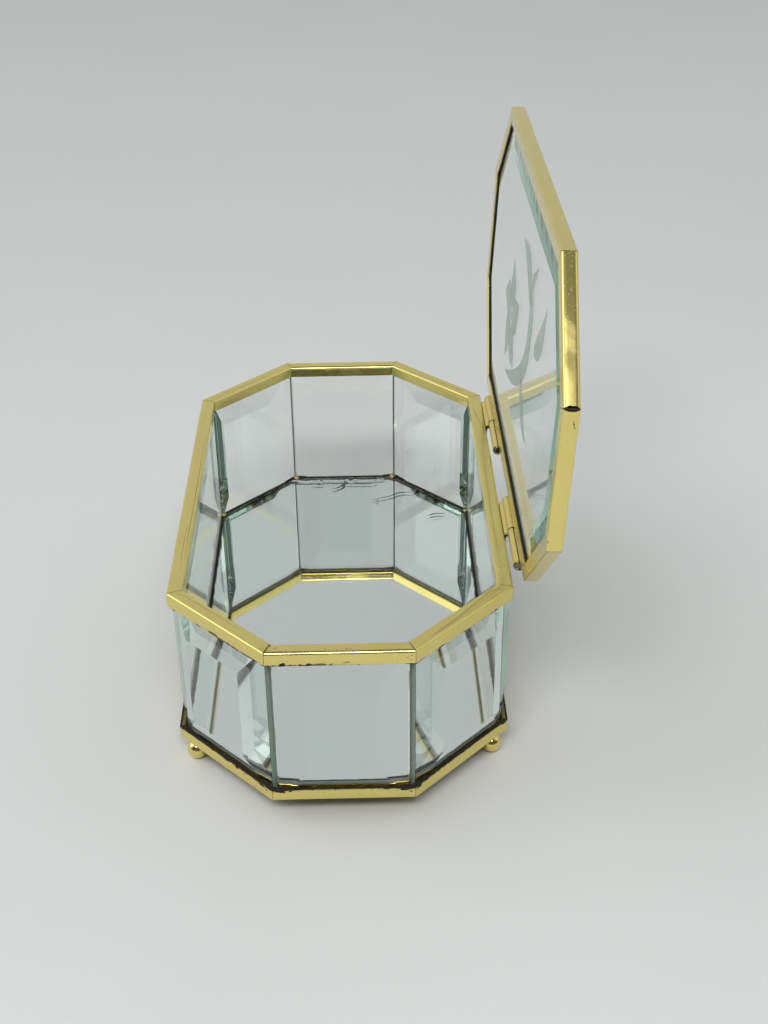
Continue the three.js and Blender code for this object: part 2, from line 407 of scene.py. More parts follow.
def makeGlass(name, look):
    material, tree, surface, out = startMaterial(name)
    surface.inputs["Base Color"].default_value = (0.985, 0.995, 0.99, 1)
    surface.inputs["Transmission Weight"].default_value = 1.0
    surface.inputs["IOR"].default_value = look["ior"]
    haze = useGroup(tree, handledHaze, (-500, -100), Scale=38.0, Amount=1.0)
    rough = ranged(tree, haze["Haze"], (-100, -100), 0, 1, *look["roughness"])
    tree.links.new(rough, surface.inputs["Roughness"])
    depth = put(tree, "ShaderNodeVolumeAbsorption", (600, -400))
    depth.inputs["Color"].default_value = (*look["absorb"], 1)
    depth.inputs["Density"].default_value = look["density"]
    tree.links.new(depth.outputs[0], out.inputs["Volume"])
    return material


mirrorLook = {
    "silver": (0.80, 0.82, 0.81),
    "lost": (0.012, 0.011, 0.010),
    "roughness": (0.012, 0.03),
    "lostRoughness": 0.7,
}


def makeSilvering():
    material, tree, surface, _ = startMaterial("silveredBack")
    edge = readValue(tree, "edgeDistance", (-1100, 200))
    spoil = readValue(tree, "spoil", (-1100, 0))
    loss = useGroup(tree, platingLoss, (-700, 200), Edge_Distance=edge, Amount=spoil, Reach=2.2, Scale=420.0)
    haze = useGroup(tree, handledHaze, (-700, -200), Scale=26.0, Amount=1.0)
    tone = blendColours(tree, (-200, 200), loss["Mask"], mirrorLook["silver"], mirrorLook["lost"])
    tree.links.new(tone, surface.inputs["Base Color"])
    tree.links.new(calculated(tree, "SUBTRACT", (-200, 0), 1.0, loss["Mask"]), surface.inputs["Metallic"])
    rough = ranged(tree, haze["Haze"], (-400, -200), 0, 1, *mirrorLook["roughness"])
    dull = calculated(tree, "MULTIPLY", (-200, -100), loss["Mask"], mirrorLook["lostRoughness"])
    tree.links.new(calculated(tree, "MAXIMUM", (0, -100), rough, dull), surface.inputs["Roughness"])
    return material


def makePlain(name, low, high, rough, metallic=0.0, scale=900.0, bumpDepth=0.00005, alpha=1.0):
    # One mottled colour with a bumpy surface: dirt, felt, steel, adhesive
    material, tree, surface, _ = startMaterial(name)
    where = put(tree, "ShaderNodeTexCoord", (-900, 0))
    mottle = put(tree, "ShaderNodeTexNoise", (-650, 0))
    mottle.inputs["Scale"].default_value = scale
    mottle.inputs["Detail"].default_value = 6.0
    tree.links.new(where.outputs["Object"], mottle.inputs["Vector"])
    tone = blendColours(tree, (-300, 100), mottle.outputs["Fac"], low, high)
    tree.links.new(tone, surface.inputs["Base Color"])
    dull = ranged(tree, mottle.outputs["Fac"], (-300, -100), 0.3, 0.7, *rough)
    tree.links.new(dull, surface.inputs["Roughness"])
    surface.inputs["Metallic"].default_value = metallic
    surface.inputs["Alpha"].default_value = alpha
    bump = put(tree, "ShaderNodeBump", (200, -250))
    bump.inputs["Strength"].default_value = 0.6
    bump.inputs["Distance"].default_value = bumpDepth
    tree.links.new(mottle.outputs["Fac"], bump.inputs["Height"])
    tree.links.new(bump.outputs["Normal"], surface.inputs["Normal"])
    return material


ballLook = {**brassLook, "bright": (0.90, 0.74, 0.27), "roughness": (0.10, 0.2)}
tubeLook = {**brassLook, "bright": (0.80, 0.66, 0.24), "roughness": (0.22, 0.36)}
finish = {
    "brass": makeBrass("platedChannel", brassLook),
    "foot": makeBrass("polishedBall", ballLook, wear=False),
    "hinge": makeBrass("rolledTube", tubeLook, 60.0),
    "glass": makeGlass("clearWallGlass", glassLook),
    "lidGlass": makeGlass("clearLidGlass", glassLook),
    "mirrorGlass": makeGlass("mirrorPlateGlass", {**glassLook, "roughness": (0.0, 0.01)}),
    "silver": makeSilvering(),
}
mottledLooks = {     # finish: material, darker tone, paler tone, roughness, and what else differs
    # black packing and dirt; the same colour also paints the shade in the lid's open joint and the hinge tube
    # ends
    "dirtAndShade": ("blackenedPackingAndShade", (0.005, 0.004, 0.003), (0.028, 0.020, 0.012), (0.7, 0.98),
             {"scale": 1400.0}),
    "glue": ("cornerAdhesive", (0.20, 0.21, 0.18), (0.42, 0.44, 0.40), (0.2, 0.5), {"scale": 500.0}),
    "felt": ("feltBacking", (0.010, 0.009, 0.009), (0.035, 0.03, 0.03), (0.9, 1.0),
             {"scale": 2600.0, "bumpDepth": 0.0002}),
    "steel": ("pinSteel", (0.10, 0.095, 0.085), (0.30, 0.29, 0.27), (0.28, 0.5), {"metallic": 1.0}),
    "solder": ("cornerSolder", (0.55, 0.45, 0.18), (0.80, 0.68, 0.28), (0.25, 0.45),
               {"metallic": 1.0, "scale": 700.0}),
    "frost": ("frostedEtch", (0.36, 0.44, 0.38), (0.50, 0.58, 0.52), (0.75, 0.95),
              {"scale": 2500.0, "bumpDepth": 0.00002, "alpha": 0.32}),
    "ground": ("groundEdge", (0.26, 0.34, 0.29), (0.44, 0.53, 0.46), (0.35, 0.6), {}),
    "paleGround": ("groundLidEdge", (0.66, 0.72, 0.70), (0.84, 0.88, 0.86), (0.4, 0.7), {}),
    "streak": ("spilledSolder", (0.50, 0.52, 0.50), (0.86, 0.88, 0.86), (0.3, 0.6), {}),
    "joint": ("mitreDirt", (0.012, 0.007, 0.004), (0.07, 0.045, 0.015), (0.5, 0.9), {"scale": 800.0}),
    "stain": ("brownStain", (0.10, 0.075, 0.02), (0.34, 0.27, 0.10), (0.45, 0.8),
              {"metallic": 0.5, "scale": 1500.0}),
    "scratch": ("dullScratch", (0.055, 0.045, 0.012), (0.14, 0.12, 0.035), (0.4, 0.7),
                {"metallic": 0.4, "scale": 1200.0}),
    "pit": ("brightPit", (0.50, 0.42, 0.16), (0.80, 0.72, 0.38), (0.3, 0.5), {"metallic": 0.8}),
    "flaw": ("lostSilver", (0.03, 0.035, 0.03), (0.12, 0.14, 0.13), (0.4, 0.8), {"scale": 1100.0}),
}
for key, (*look, others) in mottledLooks.items():
    finish[key] = makePlain(*look, **others)
print("materials made:", len(finish))


# Mesh helpers

def finishMesh(name, bm, material, body, replaced=(), smoothAngle=35.0, placing=None):
    bmesh.ops.recalc_face_normals(bm, faces=bm.faces)
    mesh = bpy.data.meshes.new(name)
    bm.to_mesh(mesh)
    bm.free()
    if placing is not None:
        mesh.transform(placing)
    if smoothAngle:
        mesh.polygons.foreach_set("use_smooth", [True] * len(mesh.polygons))
        mesh.set_sharp_from_angle(angle=math.radians(smoothAngle))
    mesh.materials.append(material)
    piece = bpy.data.objects.new(name, mesh)
    scene.collection.objects.link(piece)
    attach(piece, body)
    if replaced:
        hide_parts(*replaced)
    return piece


def outline(plan, inset=0.0):
    x = plan["halfWidth"] - inset
    y = plan["halfLength"] - inset
    a = plan["halfWidth"] - plan["cornerCut"] - inset * mitre
    b = plan["halfLength"] - plan["cornerCut"] - inset * mitre
    return [Vector(p) for p in ((-a, -y), (a, -y), (x, -b), (x, b), (a, y), (-a, y), (-x, b), (-x, -b))]


def sidesOf(plan):
    points = outline(plan)
    sides = []
    for i, start in enumerate(points):
        run = points[(i + 1) % 8] - start
        along = Vector((run.x, run.y, 0)).normalized()
        inward = Vector((-along.y, along.x, 0))
        sides.append({"name": sideNames[i], "start": Vector((start.x, start.y, 0)), "length": run.length,
                      "along": along, "inward": inward})
    return sides


boxSides = {side["name"]: side for side in sidesOf(boxPlan)}


def onSide(side, run, inset, height):
    spot = side["start"] + side["along"] * run + side["inward"] * inset
    spot.z = height
    return spot


def onRimTop(side, run=0.0, across=0.0):
    return lambda u, v, depth: onSide(side, run + u, across + v, boxPlan["rimTop"] + depth)


def onRimFace(side, run, level):
    return lambda u, v, depth: onSide(side, run + u, -depth, level + v)


def onLevel(level):
    return lambda u, v, depth: Vector((u, v, level + depth))


sunk = -0.1      # how far a mark's plate reaches into the brass under it


def addPlate(bm, points, toSpot, low, high):
    # Closed flat chip: a small outline given twice, at two depths
    lower = [bm.verts.new(toSpot(u, v, low) * mm) for u, v in points]
    upper = [bm.verts.new(toSpot(u, v, high) * mm) for u, v in points]
    count = len(points)
    for i in range(count):
        j = (i + 1) % count
        bm.faces.new((lower[i], lower[j], upper[j], upper[i]))
    bm.faces.new(lower)
    bm.faces.new(upper)


def ribbon(points, widths):
    # Outline of a tapered stroke along a line of points
    left, right = [], []
    for i, p in enumerate(points):
        ahead = (points[min(i + 1, len(points) - 1)] - points[max(i - 1, 0)]).normalized()
        aside = Vector((-ahead.y, ahead.x)) * widths[i] / 2
        left.append(tuple(p + aside))
        right.append(tuple(p - aside))
    return left + right[::-1]


def smoothPath(points, steps):
    # Catmull-Rom curve through the given points
    spots = [Vector(p) for p in points]
    spots = [2 * spots[0] - spots[1]] + spots + [2 * spots[-1] - spots[-2]]
    result = []
    for i in range(1, len(spots) - 2):
        a, b, c, d = spots[i - 1:i + 3]
        for k in range(steps):
            t = k / steps
            result.append(0.5 * (2 * b + (c - a) * t + (2 * a - 5 * b + 4 * c - d) * t * t
                                 + (3 * b - a - 3 * c + d) * t ** 3))
    return result + [spots[-2]]


def sweepRing(name, plan, spacing, section, material, body, placing, smoothAngle=50.0, paler=None):
    # One closed bead round the eight sides; section(side, share, spot) gives [inset, height] points
    bm = bmesh.new()
    rings, isLong = [], []
    for side in sidesOf(plan):
        stations = round(side["length"] / spacing)
        for s in range(stations):
            share = s / stations
            middle = onSide(side, share * side["length"], 0, 0)
            ring = []
            for inset, height in section(side["name"], share, middle):
                trim = inset * mitre
                run = trim + share * (side["length"] - 2 * trim)
                ring.append(bm.verts.new(onSide(side, run, inset, height) * mm))
            rings.append(ring)
            isLong.append(side["name"] in ("left", "hinge_side"))
    for k, ring in enumerate(rings):
        after = rings[(k + 1) % len(rings)]
        for i in range(len(ring)):
            j = (i + 1) % len(ring)
            face = bm.faces.new((ring[i], ring[j], after[j], after[i]))
            face.material_index = 1 if paler and isLong[k] else 0
    made = finishMesh(name, bm, material, body, placing=placing, smoothAngle=smoothAngle)
    if paler:
        made.data.materials.append(paler)
    return made


def ramp(value, low, high):
    return max(0.0, min(1.0, (value - low) / (high - low)))


def arc(cx, cy, radius, begin, end, steps):
    return [(cx + radius * math.cos(t), cy + radius * math.sin(t))
            for t in (math.radians(begin + (end - begin) * i / steps) for i in range(steps + 1))]


# Brass channel

channel = {
    "wall": 0.5,
    "bend": 1.0,
    "tightBend": 0.55,
    "softlyBent": ("topRim_front", "topRim_back", "bottomRim_front", "lidFrame_front_left"),
    "innerBend": 0.35,
    "lip": 0.1,          # rounding of each leg's free edge
    "station": 1.6,      # spacing of the cross sections
    "wave": 0.014,       # slight waviness of rolled strip
    "waveScale": 0.06,   # per millimetre
    "waveEase": 4.0,     # the waviness dies away this close to a mitre
    "gapOuter": 0.07,
    "gapInner": 0.09,
    "gapChange": 0.6,    # inset where the outer gap turns into the inner one
    "openDepth": 1.2,    # a lifted mitre parts only this far down the legs
}
topRim = {"web": 4.6, "near": 4.4, "far": 3.9}
lidRim = {"web": 4.4, "near": 4.6, "far": 4.6}


def channelProfile(size, bend=channel["bend"]):
    # [across, depth, distance from the nearer leg's free edge]
    wall, inner, lip = (channel[k] for k in ("wall", "innerBend", "lip"))
    web, near, far = size["web"], size["near"], size["far"]
    points = [(0, -near + lip), (lip, -near), (wall - lip, -near), (wall, -near + lip)]
    points += [(wall, -near * 0.6)]
    points += arc(wall + inner, -wall - inner, inner, 180, 90, 3)
    points += [(web * 0.5, -wall)]
    points += arc(web - wall - inner, -wall - inner, inner, 90, 0, 3)
    points += [(web - wall, -far * 0.6), (web - wall, -far + lip), (web - wall + lip, -far)]
    points += [(web - lip, -far), (web, -far + lip)]
    points += [(web, -far * 0.75), (web, -far * 0.5)]
    points += arc(web - bend, -bend, bend, 0, 90, 7)
    points += [(web * 0.66, 0), (web * 0.33, 0)]
    points += arc(bend, -bend, bend, 90, 180, 7)
    points += [(0, -near * 0.5), (0, -near * 0.75)]
    return [(x, y, (y + near) if x < web / 2 else (y + far)) for x, y in points]


def sweepChannel(name, side, size, place, spoilAt, placing, body, node, open=(0.0, 0.0)):
    profile = channelProfile(size, channel["bend" if name in channel["softlyBent"] else "tightBend"])
    bm = bmesh.new()
    uvLayer = bm.loops.layers.uv.new("stripUV")
    edgeLayer = bm.verts.layers.float.new("edgeDistance")
    spoilLayer = bm.verts.layers.float.new("spoil")
    lengths = [0.0]
    for (x0, y0, _), (x1, y1, _) in zip(profile, profile[1:]):
        lengths.append(lengths[-1] + math.hypot(x1 - x0, y1 - y0))
    stations = round(side["length"] / channel["station"])
    rings = []
    for s in range(stations + 1):
        share = s / stations
        ring = []
        for x, y, freeEdge in profile:
            inset, height = place(x, y)
            gap = channel["gapOuter"] if inset < channel["gapChange"] else channel["gapInner"]
            trim = inset * mitre + gap
            lens = math.sin(math.pi * ramp(x, 0, size["web"])) ** 0.8 if y > -channel["openDepth"] else 0.0
            first, last = trim + open[0] * lens, side["length"] - trim - open[1] * lens
            run = first + share * (last - first)
            spot = side["start"] + side["along"] * run + side["inward"] * inset
            spot.z = height
            inwards = noise.noise(spot * channel["waveScale"] + Vector((7.1, 3.3, 1.7)))
            upwards = noise.noise(spot * channel["waveScale"] + Vector((1.4, 8.2, 5.9)))
            ends = min(1.0, min(share, 1 - share) * side["length"] / channel["waveEase"])
            spot += (side["inward"] * inwards + Vector((0, 0, upwards))) * channel["wave"] * ends
            vert = bm.verts.new(spot * mm)
            vert[edgeLayer] = freeEdge
            vert[spoilLayer] = spoilAt(x < size["web"] / 2, run / side["length"])
            ring.append(vert)
        rings.append(ring)
    count = len(profile)
    for s in range(stations):
        for i in range(count):
            j = (i + 1) % count
            face = bm.faces.new((rings[s][i], rings[s][j], rings[s + 1][j], rings[s + 1][i]))
            far = lengths[j] if j else lengths[-1] + 0.1
            spots = ((s, lengths[i]), (s, far), (s + 1, far), (s + 1, lengths[i]))
            for loop, (row, width) in zip(face.loops, spots):
                loop[uvLayer].uv = (row / stations * side["length"] * mm, width * mm)
    for ring in (rings[0], rings[-1]):
        bm.faces.new(ring)
    return finishMesh(name, bm, finish["brass"], body, replaced=[node], placing=placing)


# Plating lost: an amount, then (extra, from share, to share of the length) for each worse stretch
spoilPlan = {
    "inside": (0.30,),
    "lid": (0.36,),
    "top": (0.40,),
    "top_front": (0.62, (-0.34, 0.35, 0.75), (0.12, 0.9, 1.0)),
    "top_front_left": (0.30, (0.30, 0.25, 0.6)),
    "top_front_right": (0.44,),
    "bottom": (0.52, (0.2, 0.2, 0.0), (0.2, 0.8, 1.0)),
    "bottom_front": (0.58, (0.3, 0.2, 0.0), (0.3, 0.8, 1.0)),
    "bottom_front_left": (0.72, (0.05, 0.2, 0.0), (0.05, 0.8, 1.0)),
}


def spoilAlong(rim, sideName, inside="inside"):
    worst = spoilPlan.get(f"{rim}_{sideName}", spoilPlan[rim])

    def lost(outer, share):
        amount, *stretches = worst if outer else spoilPlan[inside]
        return amount + sum(extra * ramp(share, low, high) for extra, low, high in stretches)

    return lost


def makeRims():
    top, low = boxPlan["rimTop"], boxPlan["rimFoot"]
    for side in sidesOf(boxPlan):
        name = side["name"]
        sweepChannel(f"topRim_{name}", side, topRim, lambda x, y: (x, top + y), spoilAlong("top", name),
                     ontoTable, "box", f"top_rim_{name}")
        sweepChannel(f"bottomRim_{name}", side, topRim, lambda x, y: (x, low - y), spoilAlong("bottom", name),
                     ontoTable, "box", f"bottom_rim_{name}")
    print("box rims made")


openJoint = {"length": 0.95, "frontShare": 0.75, "depth": 0.62, "steps": 16, "edge": 0.3, "thickness": 0.15}


def makeLidFrame():
    low, gap = lidPlan["low"], openJoint["length"]
    gaps = {"front_left": (0.0, gap), "front": (gap * openJoint["frontShare"], 0.0)}
    for side in sidesOf(lidPlan):
        name = side["name"]
        sweepChannel(f"lidFrame_{name}", side, lidRim, lambda x, y: (-y, low + x),
                     spoilAlong("lid", name, "lid"), swungOpen, "lid", f"lid_frame_{name}",
                     open=gaps.get(name, (0.0, 0.0)))
    print("lid frame made")


mitreFill = {"below": 0.07, "halfWidth": 0.17}


def shrunk(points, by):
    # Moves a section's points into the metal
    result = []
    count = len(points)
    for i in range(count):
        p, before, after = Vector(points[i]), Vector(points[i - 1]), Vector(points[(i + 1) % count])
        run = ((p - before).normalized() + (after - p).normalized()).normalized()
        result.append(p + Vector((-run.y, run.x)) * by)
    return result


def makeMitreFill(name, plan, size, place, body, placing):
    # Dirt and solder seen down the open mitres, just below the brass surface
    profile = shrunk([(x, y) for x, y, _ in channelProfile(size)], mitreFill["below"])
    corners, bm = outline(plan), bmesh.new()
    for i, corner in enumerate(corners):
        before = (corner - corners[i - 1]).normalized()
        after = (corners[(i + 1) % 8] - corner).normalized()
        inward = Vector((-before.y, before.x)) + Vector((-after.y, after.x))
        inward /= inward.length * math.cos(math.pi / 8)
        across = (before + after).normalized() * mitreFill["halfWidth"]

        def spotAt(x, y, push):
            inset, height = place(x, y)
            p = corner + inward * inset + across * push
            return Vector((p.x, p.y, height))

        addPlate(bm, [tuple(p) for p in profile], spotAt, -1, 1)
    finishMesh(name, bm, finish["joint"], body, placing=placing)


def makeMitreFills():
    top, low, lidLow = boxPlan["rimTop"], boxPlan["rimFoot"], lidPlan["low"]
    makeMitreFill("topRimJoints", boxPlan, topRim, lambda x, y: (x, top + y), "box", ontoTable)
    makeMitreFill("bottomRimJoints", boxPlan, topRim, lambda x, y: (x, low - y), "box", ontoTable)
    makeMitreFill("lidFrameJoints", lidPlan, lidRim, lambda x, y: (-y, lidLow + x), "lid", swungOpen)
    print("mitres filled")


# Glass

wallGlass = {
    "thickness": 4.0,
    "edge": 1.5,
    "frontEdge": 2.1,     # the three front panes are ground less deeply
    "inset": 3.9,
    "seat": 0.7,
    "gap": 0.3,
    "arris": 0.12,
    "bevelLow": 9.5,
    "bevelHigh": 12.0,
    "bevelSquare": 8.5,   # both ends of the four square-on panes
    "bevelNear": 10.0,    # slanted panes: the end beside a short side
    "bevelFar": 5.5,      # and the end beside a long side
}
lidGlass = {"thickness": 3.4, "edge": 2.3, "inset": 0.9, "bevel": 11.0, "top": 3.8, "arris": 0.12}


def insetOutline(points, by):
    # Moves every side of a convex anticlockwise outline inwards
    result = []
    count = len(points)
    for i, p in enumerate(points):
        before = (p - points[i - 1]).normalized()
        after = (points[(i + 1) % count] - p).normalized()
        n1, n2 = Vector((-before.y, before.x)), Vector((-after.y, after.x))
        result.append(p + (n1 + n2) * (by / (1 + n1.dot(n2))))
    return result


def layeredPane(layers, groundLayer=None):
    # Stacks outlines into one closed pane; layers are (points, depth), back first
    bm = bmesh.new()
    rings = [[bm.verts.new(Vector((p.x, p.y, depth)) * mm) for p in points] for points, depth in layers]
    for level, (lower, upper) in enumerate(zip(rings, rings[1:])):
        for i in range(len(lower)):
            j = (i + 1) % len(lower)
            face = bm.faces.new((lower[i], lower[j], upper[j], upper[i]))
            face.material_index = 1 if level == groundLayer else 0
    bm.faces.new(rings[0])
    bm.faces.new(rings[-1])
    return bm


def bevelledPane(outer, ridge, size):
    # Polished faces and arrises; the cut edge between them is left ground
    a = size["arris"]
    inner = insetOutline(outer, a)
    return layeredPane([(inner, 0.0), (outer, a), (outer, size["edge"] - a), (inner, size["edge"]),
                        (ridge, size["thickness"])], groundLayer=1)


def rectangle(left, right, low, high):
    return [Vector(p) for p in ((left, low), (right, low), (right, high), (left, high))]


def makeWalls():
    height = boxPlan["rimTop"] - boxPlan["rimFoot"] - 2 * wallGlass["seat"]
    for i, side in enumerate(sidesOf(boxPlan)):
        half = side["length"] / 2 - wallGlass["inset"] * mitre - wallGlass["gap"] / 2
        near, far, square = (wallGlass[k] for k in ("bevelNear", "bevelFar", "bevelSquare"))
        left, right = (square, square) if i % 2 == 0 else (near, far) if i % 4 == 1 else (far, near)
        ridge = rectangle(left - half, half - right, wallGlass["bevelLow"], height - wallGlass["bevelHigh"])
        edge = wallGlass["frontEdge" if "front" in side["name"] else "edge"]
        bm = bevelledPane(rectangle(-half, half, 0, height), ridge, {**wallGlass, "edge": edge})
        middle = onSide(side, side["length"] / 2, wallGlass["inset"], boxPlan["rimFoot"] + wallGlass["seat"])
        turn = Matrix((side["along"], Vector((0, 0, 1)), -side["inward"])).transposed().to_4x4()
        placing = ontoTable @ Matrix.Translation(middle * mm) @ turn
        pane = finishMesh(f"wallPane_{side['name']}", bm, finish["glass"], "box",
                          replaced=[f"wall_glass_{side['name']}"], smoothAngle=0, placing=placing)
        pane.data.materials.append(finish["ground"])
    print("wall panes made")


def makeLidPane():
    points = outline(lidPlan, lidGlass["inset"])
    bm = bevelledPane(points, outline(lidPlan, lidGlass["inset"] + lidGlass["bevel"]), lidGlass)
    lift = Matrix.Translation((0, 0, (lidPlan["low"] + lidGlass["top"]) * mm))
    pane = finishMesh("lidPane", bm, finish["lidGlass"], "lid", replaced=["lid_glass"],
                      smoothAngle=0, placing=swungOpen @ lift @ Matrix.Rotation(math.pi, 4, "X"))
    pane.data.materials.append(finish["paleGround"])
    print("lid pane made")


# Packing, dirt and glue

bead = {
    "spacing": 0.7,
    "bottomHeight": 0.28,    # above the bottom rim's outer lip
    "mirrorWidth": 0.85,
    "mirrorHeight": 0.27,
    "crustSpacing": 0.28,
    "cornerReach": 0.28,     # share of a side's length over which the black band changes
    "solderReach": 0.12,
    "packedTo": 1.9,         # below the lip
}
bottomLip = boxPlan["rimFoot"] + topRim["near"]


def rough(spot, scale, seed):
    return noise.noise(Vector((spot.x * scale + seed, spot.y * scale - seed, seed * 1.7)))


def cornerWeight(share, reach):
    return max(0.0, 1 - min(share, 1 - share) / reach)


crustPlan = {        # depth of the black band below the lip, in the middle of a side and at its two ends
    "front": (0.06, 0.50, 0.56),
    "front_right": (0.05, 0.52, 0.22),
    "hinge_side": (0.10, 0.25, 0.25),
    "back_right": (0.12, 0.3, 0.3),
    "back": (0.12, 0.3, 0.3),
    "back_left": (0.12, 0.3, 0.3),
    "left": (0.12, 0.3, 0.35),
    "front_left": (0.36, 0.10, 0.55),
}


def crustAt(name, share):
    middle, first, last = crustPlan[name]
    reach = bead["cornerReach"]
    return middle + first * max(0, 1 - share / reach) + last * max(0, 1 - (1 - share) / reach)


def makePacking():
    def bottomSection(name, share, spot):
        lump = 1.7 * cornerWeight(share, bead["solderReach"])
        rise = bead["bottomHeight"] * (0.8 * rough(spot, 0.5, 3.1) + lump - 2.0)
        ripple = 0.14 * rough(spot, 1.1, 8.2)
        foot, high = bottomLip - bead["packedTo"], bottomLip + rise
        return [(0.52, foot), (1.76, foot), (1.44, high), (1.15 + ripple, high),
                (0.8, bottomLip + rise * 0.7 + ripple), (0.52, bottomLip + rise * 0.5)]

    def crustSection(name, share, spot):
        ragged = 0.9 * rough(spot, 0.45, 5.5) + 1.1 * rough(spot, 1.9, 1.3) + 1.6 * rough(spot, 6.0, 9.7)
        foot = bottomLip - max(0.02, crustAt(name, share) * (0.45 + ragged))
        return [(0.40, bottomLip + 0.03), (-0.045, bottomLip + 0.035), (-0.05, foot * 0.8 + bottomLip * 0.2),
                (-0.02, foot), (0.03, foot), (0.06, bottomLip - 0.02)]

    def mirrorSection(name, share, spot):
        wide = bead["mirrorWidth"] * (1 + 0.35 * rough(spot, 0.5, 2.2) + 0.25 * rough(spot, 2.0, 6.2))
        tall = bead["mirrorHeight"] * (1 + 0.3 * rough(spot, 0.7, 4.4))
        top = mirrorPlate["low"] + mirrorPlate["thickness"]
        edge = wallGlass["inset"] + 0.05
        return [(edge + 0.07, top + 0.004), (edge + wide, top + 0.006),
                (edge + wide * 0.75, top + tall * 0.7), (edge + wide * 0.35, top + tall),
                (edge + 0.07, top + tall * 0.6)]

    def lidSection(name, share, spot):
        low = lidPlan["low"]
        lip = lidRim["near"] + 0.1 + 0.14 * rough(spot, 0.6, 7.7)
        return [(3.0, low + 0.53), (lip - 0.35, low + 0.53), (lip - 0.2, low + 0.62),
                (lip - 0.14, low + 0.85), (lip - 0.2, low + 1.06), (3.0, low + 1.2)]

    def topSection(name, share, spot):
        lip = boxPlan["rimTop"] - topRim["near"]
        wavy = lip + 0.15 * rough(spot, 0.8, 12.0)
        return [(0.52, wavy + 0.35), (0.9, wavy + 0.2), (1.55, wavy + 0.15), (1.9, lip + 2.2),
                (0.52, lip + 2.2)]

    sections = {"bottomPacking": bottomSection, "bottomCrust": crustSection, "mirrorPacking": mirrorSection,
                "topPacking": topSection}
    for name, section in sections.items():
        spacing = bead["crustSpacing" if section is crustSection else "spacing"]
        paler = finish["stain"] if section is bottomSection else None
        sweepRing(name, boxPlan, spacing, section, finish["dirtAndShade"], "box", ontoTable, paler=paler)
    sweepRing("lidPacking", lidPlan, bead["spacing"], lidSection, finish["dirtAndShade"], "lid", swungOpen)
    print("packing made")


def raggedOutline(draw, width, height, steps=22, jag=0.35):
    points = []
    for k in range(steps):
        turn = 2 * math.pi * k / steps
        reach = 1 + draw.uniform(-jag, jag * 0.5)
        points.append((width / 2 * math.cos(turn) * reach, height / 2 * math.sin(turn) * reach))
    return points


# Chips in the plating: side, run along it, height above the lip, length, height
chips = {
    "topDark": [
        ("front", 2.5, 0.15, 0.5, 0.3), ("front", 5.0, 0.30, 2.3, 0.7), ("front", 5.3, 0.75, 1.1, 1.0),
        ("front", 4.6, 0.7, 0.7, 0.6), ("front", 9.9, 0.28, 1.2, 0.55), ("front", 10.6, 0.2, 0.5, 0.35),
        ("front", 12.3, 0.45, 1.6, 0.85), ("front", 11.5, 0.15, 1.6, 0.3), ("front", 18.2, 0.2, 0.9, 0.4),
        ("front", 15.0, 1.9, 0.22, 0.22), ("front", 25.8, 0.1, 0.7, 0.2), ("front", 40.2, 0.12, 3.6, 0.26),
        ("front", 39.2, 2.1, 0.9, 0.16), ("front", 40.3, 2.9, 0.7, 0.13), ("front", 40.0, 1.35, 0.8, 0.15),
        ("front_left", 3.0, 0.1, 1.6, 0.4), ("front_left", 7.6, 0.15, 0.6, 0.35),
        ("front_left", 13.7, 0.1, 1.9, 0.30), ("front_left", 23.6, 0.08, 3.6, 0.26),
        ("front_left", 28.5, 0.06, 6.5, 0.3), ("front_left", 33.8, 0.08, 4.2, 0.34),
        ("front_left", 37.6, 0.2, 1.7, 0.5), ("front_left", 35.5, 1.5, 0.2, 0.2),
        ("front_right", 10.6, 0.22, 2.6, 0.42), ("front_right", 19.9, 0.15, 0.6, 0.35),
        ("front_right", 24.0, 0.12, 0.3, 0.25), ("front_right", 27.5, 0.1, 0.35, 0.25),
        ("front_right", 32.0, 0.18, 1.6, 0.4), ("front_right", 33.8, 0.3, 1.3, 0.45),
        ("front_right", 2.0, 0.12, 3.0, 0.2),
        ("left", 30.0, 0.12, 2.2, 0.3), ("left", 74.0, 0.15, 1.2, 0.4), ("left", 98.0, 0.12, 3.0, 0.3),
        ("hinge_side", 20.0, 0.12, 1.8, 0.3), ("hinge_side", 95.0, 0.14, 2.4, 0.35),
        ("back", 12.0, 0.15, 1.6, 0.4), ("back", 30.0, 0.12, 0.8, 0.3), ("back_left", 10.0, 0.14, 1.4, 0.4),
        ("back_right", 27.0, 0.14, 2.0, 0.35),
    ],
    "topBrown": [
        ("front", 15.4, 0.35, 3.8, 0.85), ("front_left", 20.0, 0.42, 4.0, 0.95),
        ("front", 22.5, 1.05, 2.2, 0.28), ("back", 20.0, 0.3, 3.0, 0.6), ("left", 60.0, 0.3, 2.6, 0.6),
    ],
    "bottomDark": [
        ("front_left", 15.0, -0.55, 1.6, 0.6), ("front_left", 21.5, -0.6, 2.4, 0.7),
        ("front_left", 26.0, -0.75, 1.4, 0.9), ("front_left", 29.5, -1.1, 0.8, 0.5),
        ("front_left", 37.0, -0.9, 2.6, 0.9), ("front_left", 39.0, -1.5, 0.9, 0.5),
        ("front", 2.5, -0.7, 2.6, 1.0), ("front", 5.2, -0.7, 1.1, 0.5), ("front", 38.2, -0.7, 3.0, 1.1),
        ("front", 40.0, -1.5, 1.2, 0.4), ("front", 33.0, -0.45, 2.0, 0.4),
        ("front_right", 1.6, -0.8, 2.2, 1.0), ("front_right", 5.0, -0.4, 1.4, 0.4),
        ("front_right", 39.6, -0.5, 2.2, 0.9),
        ("left", 110.0, -0.5, 4.0, 0.8), ("hinge_side", 6.0, -0.5, 3.0, 0.7),
    ],
    "proud": 0.03,
    "faceDots": 130,
    "dotsOnTop": 0.45,       # share of the dots that lie on the top rim's upper face
    "dotProud": 0.025,
}


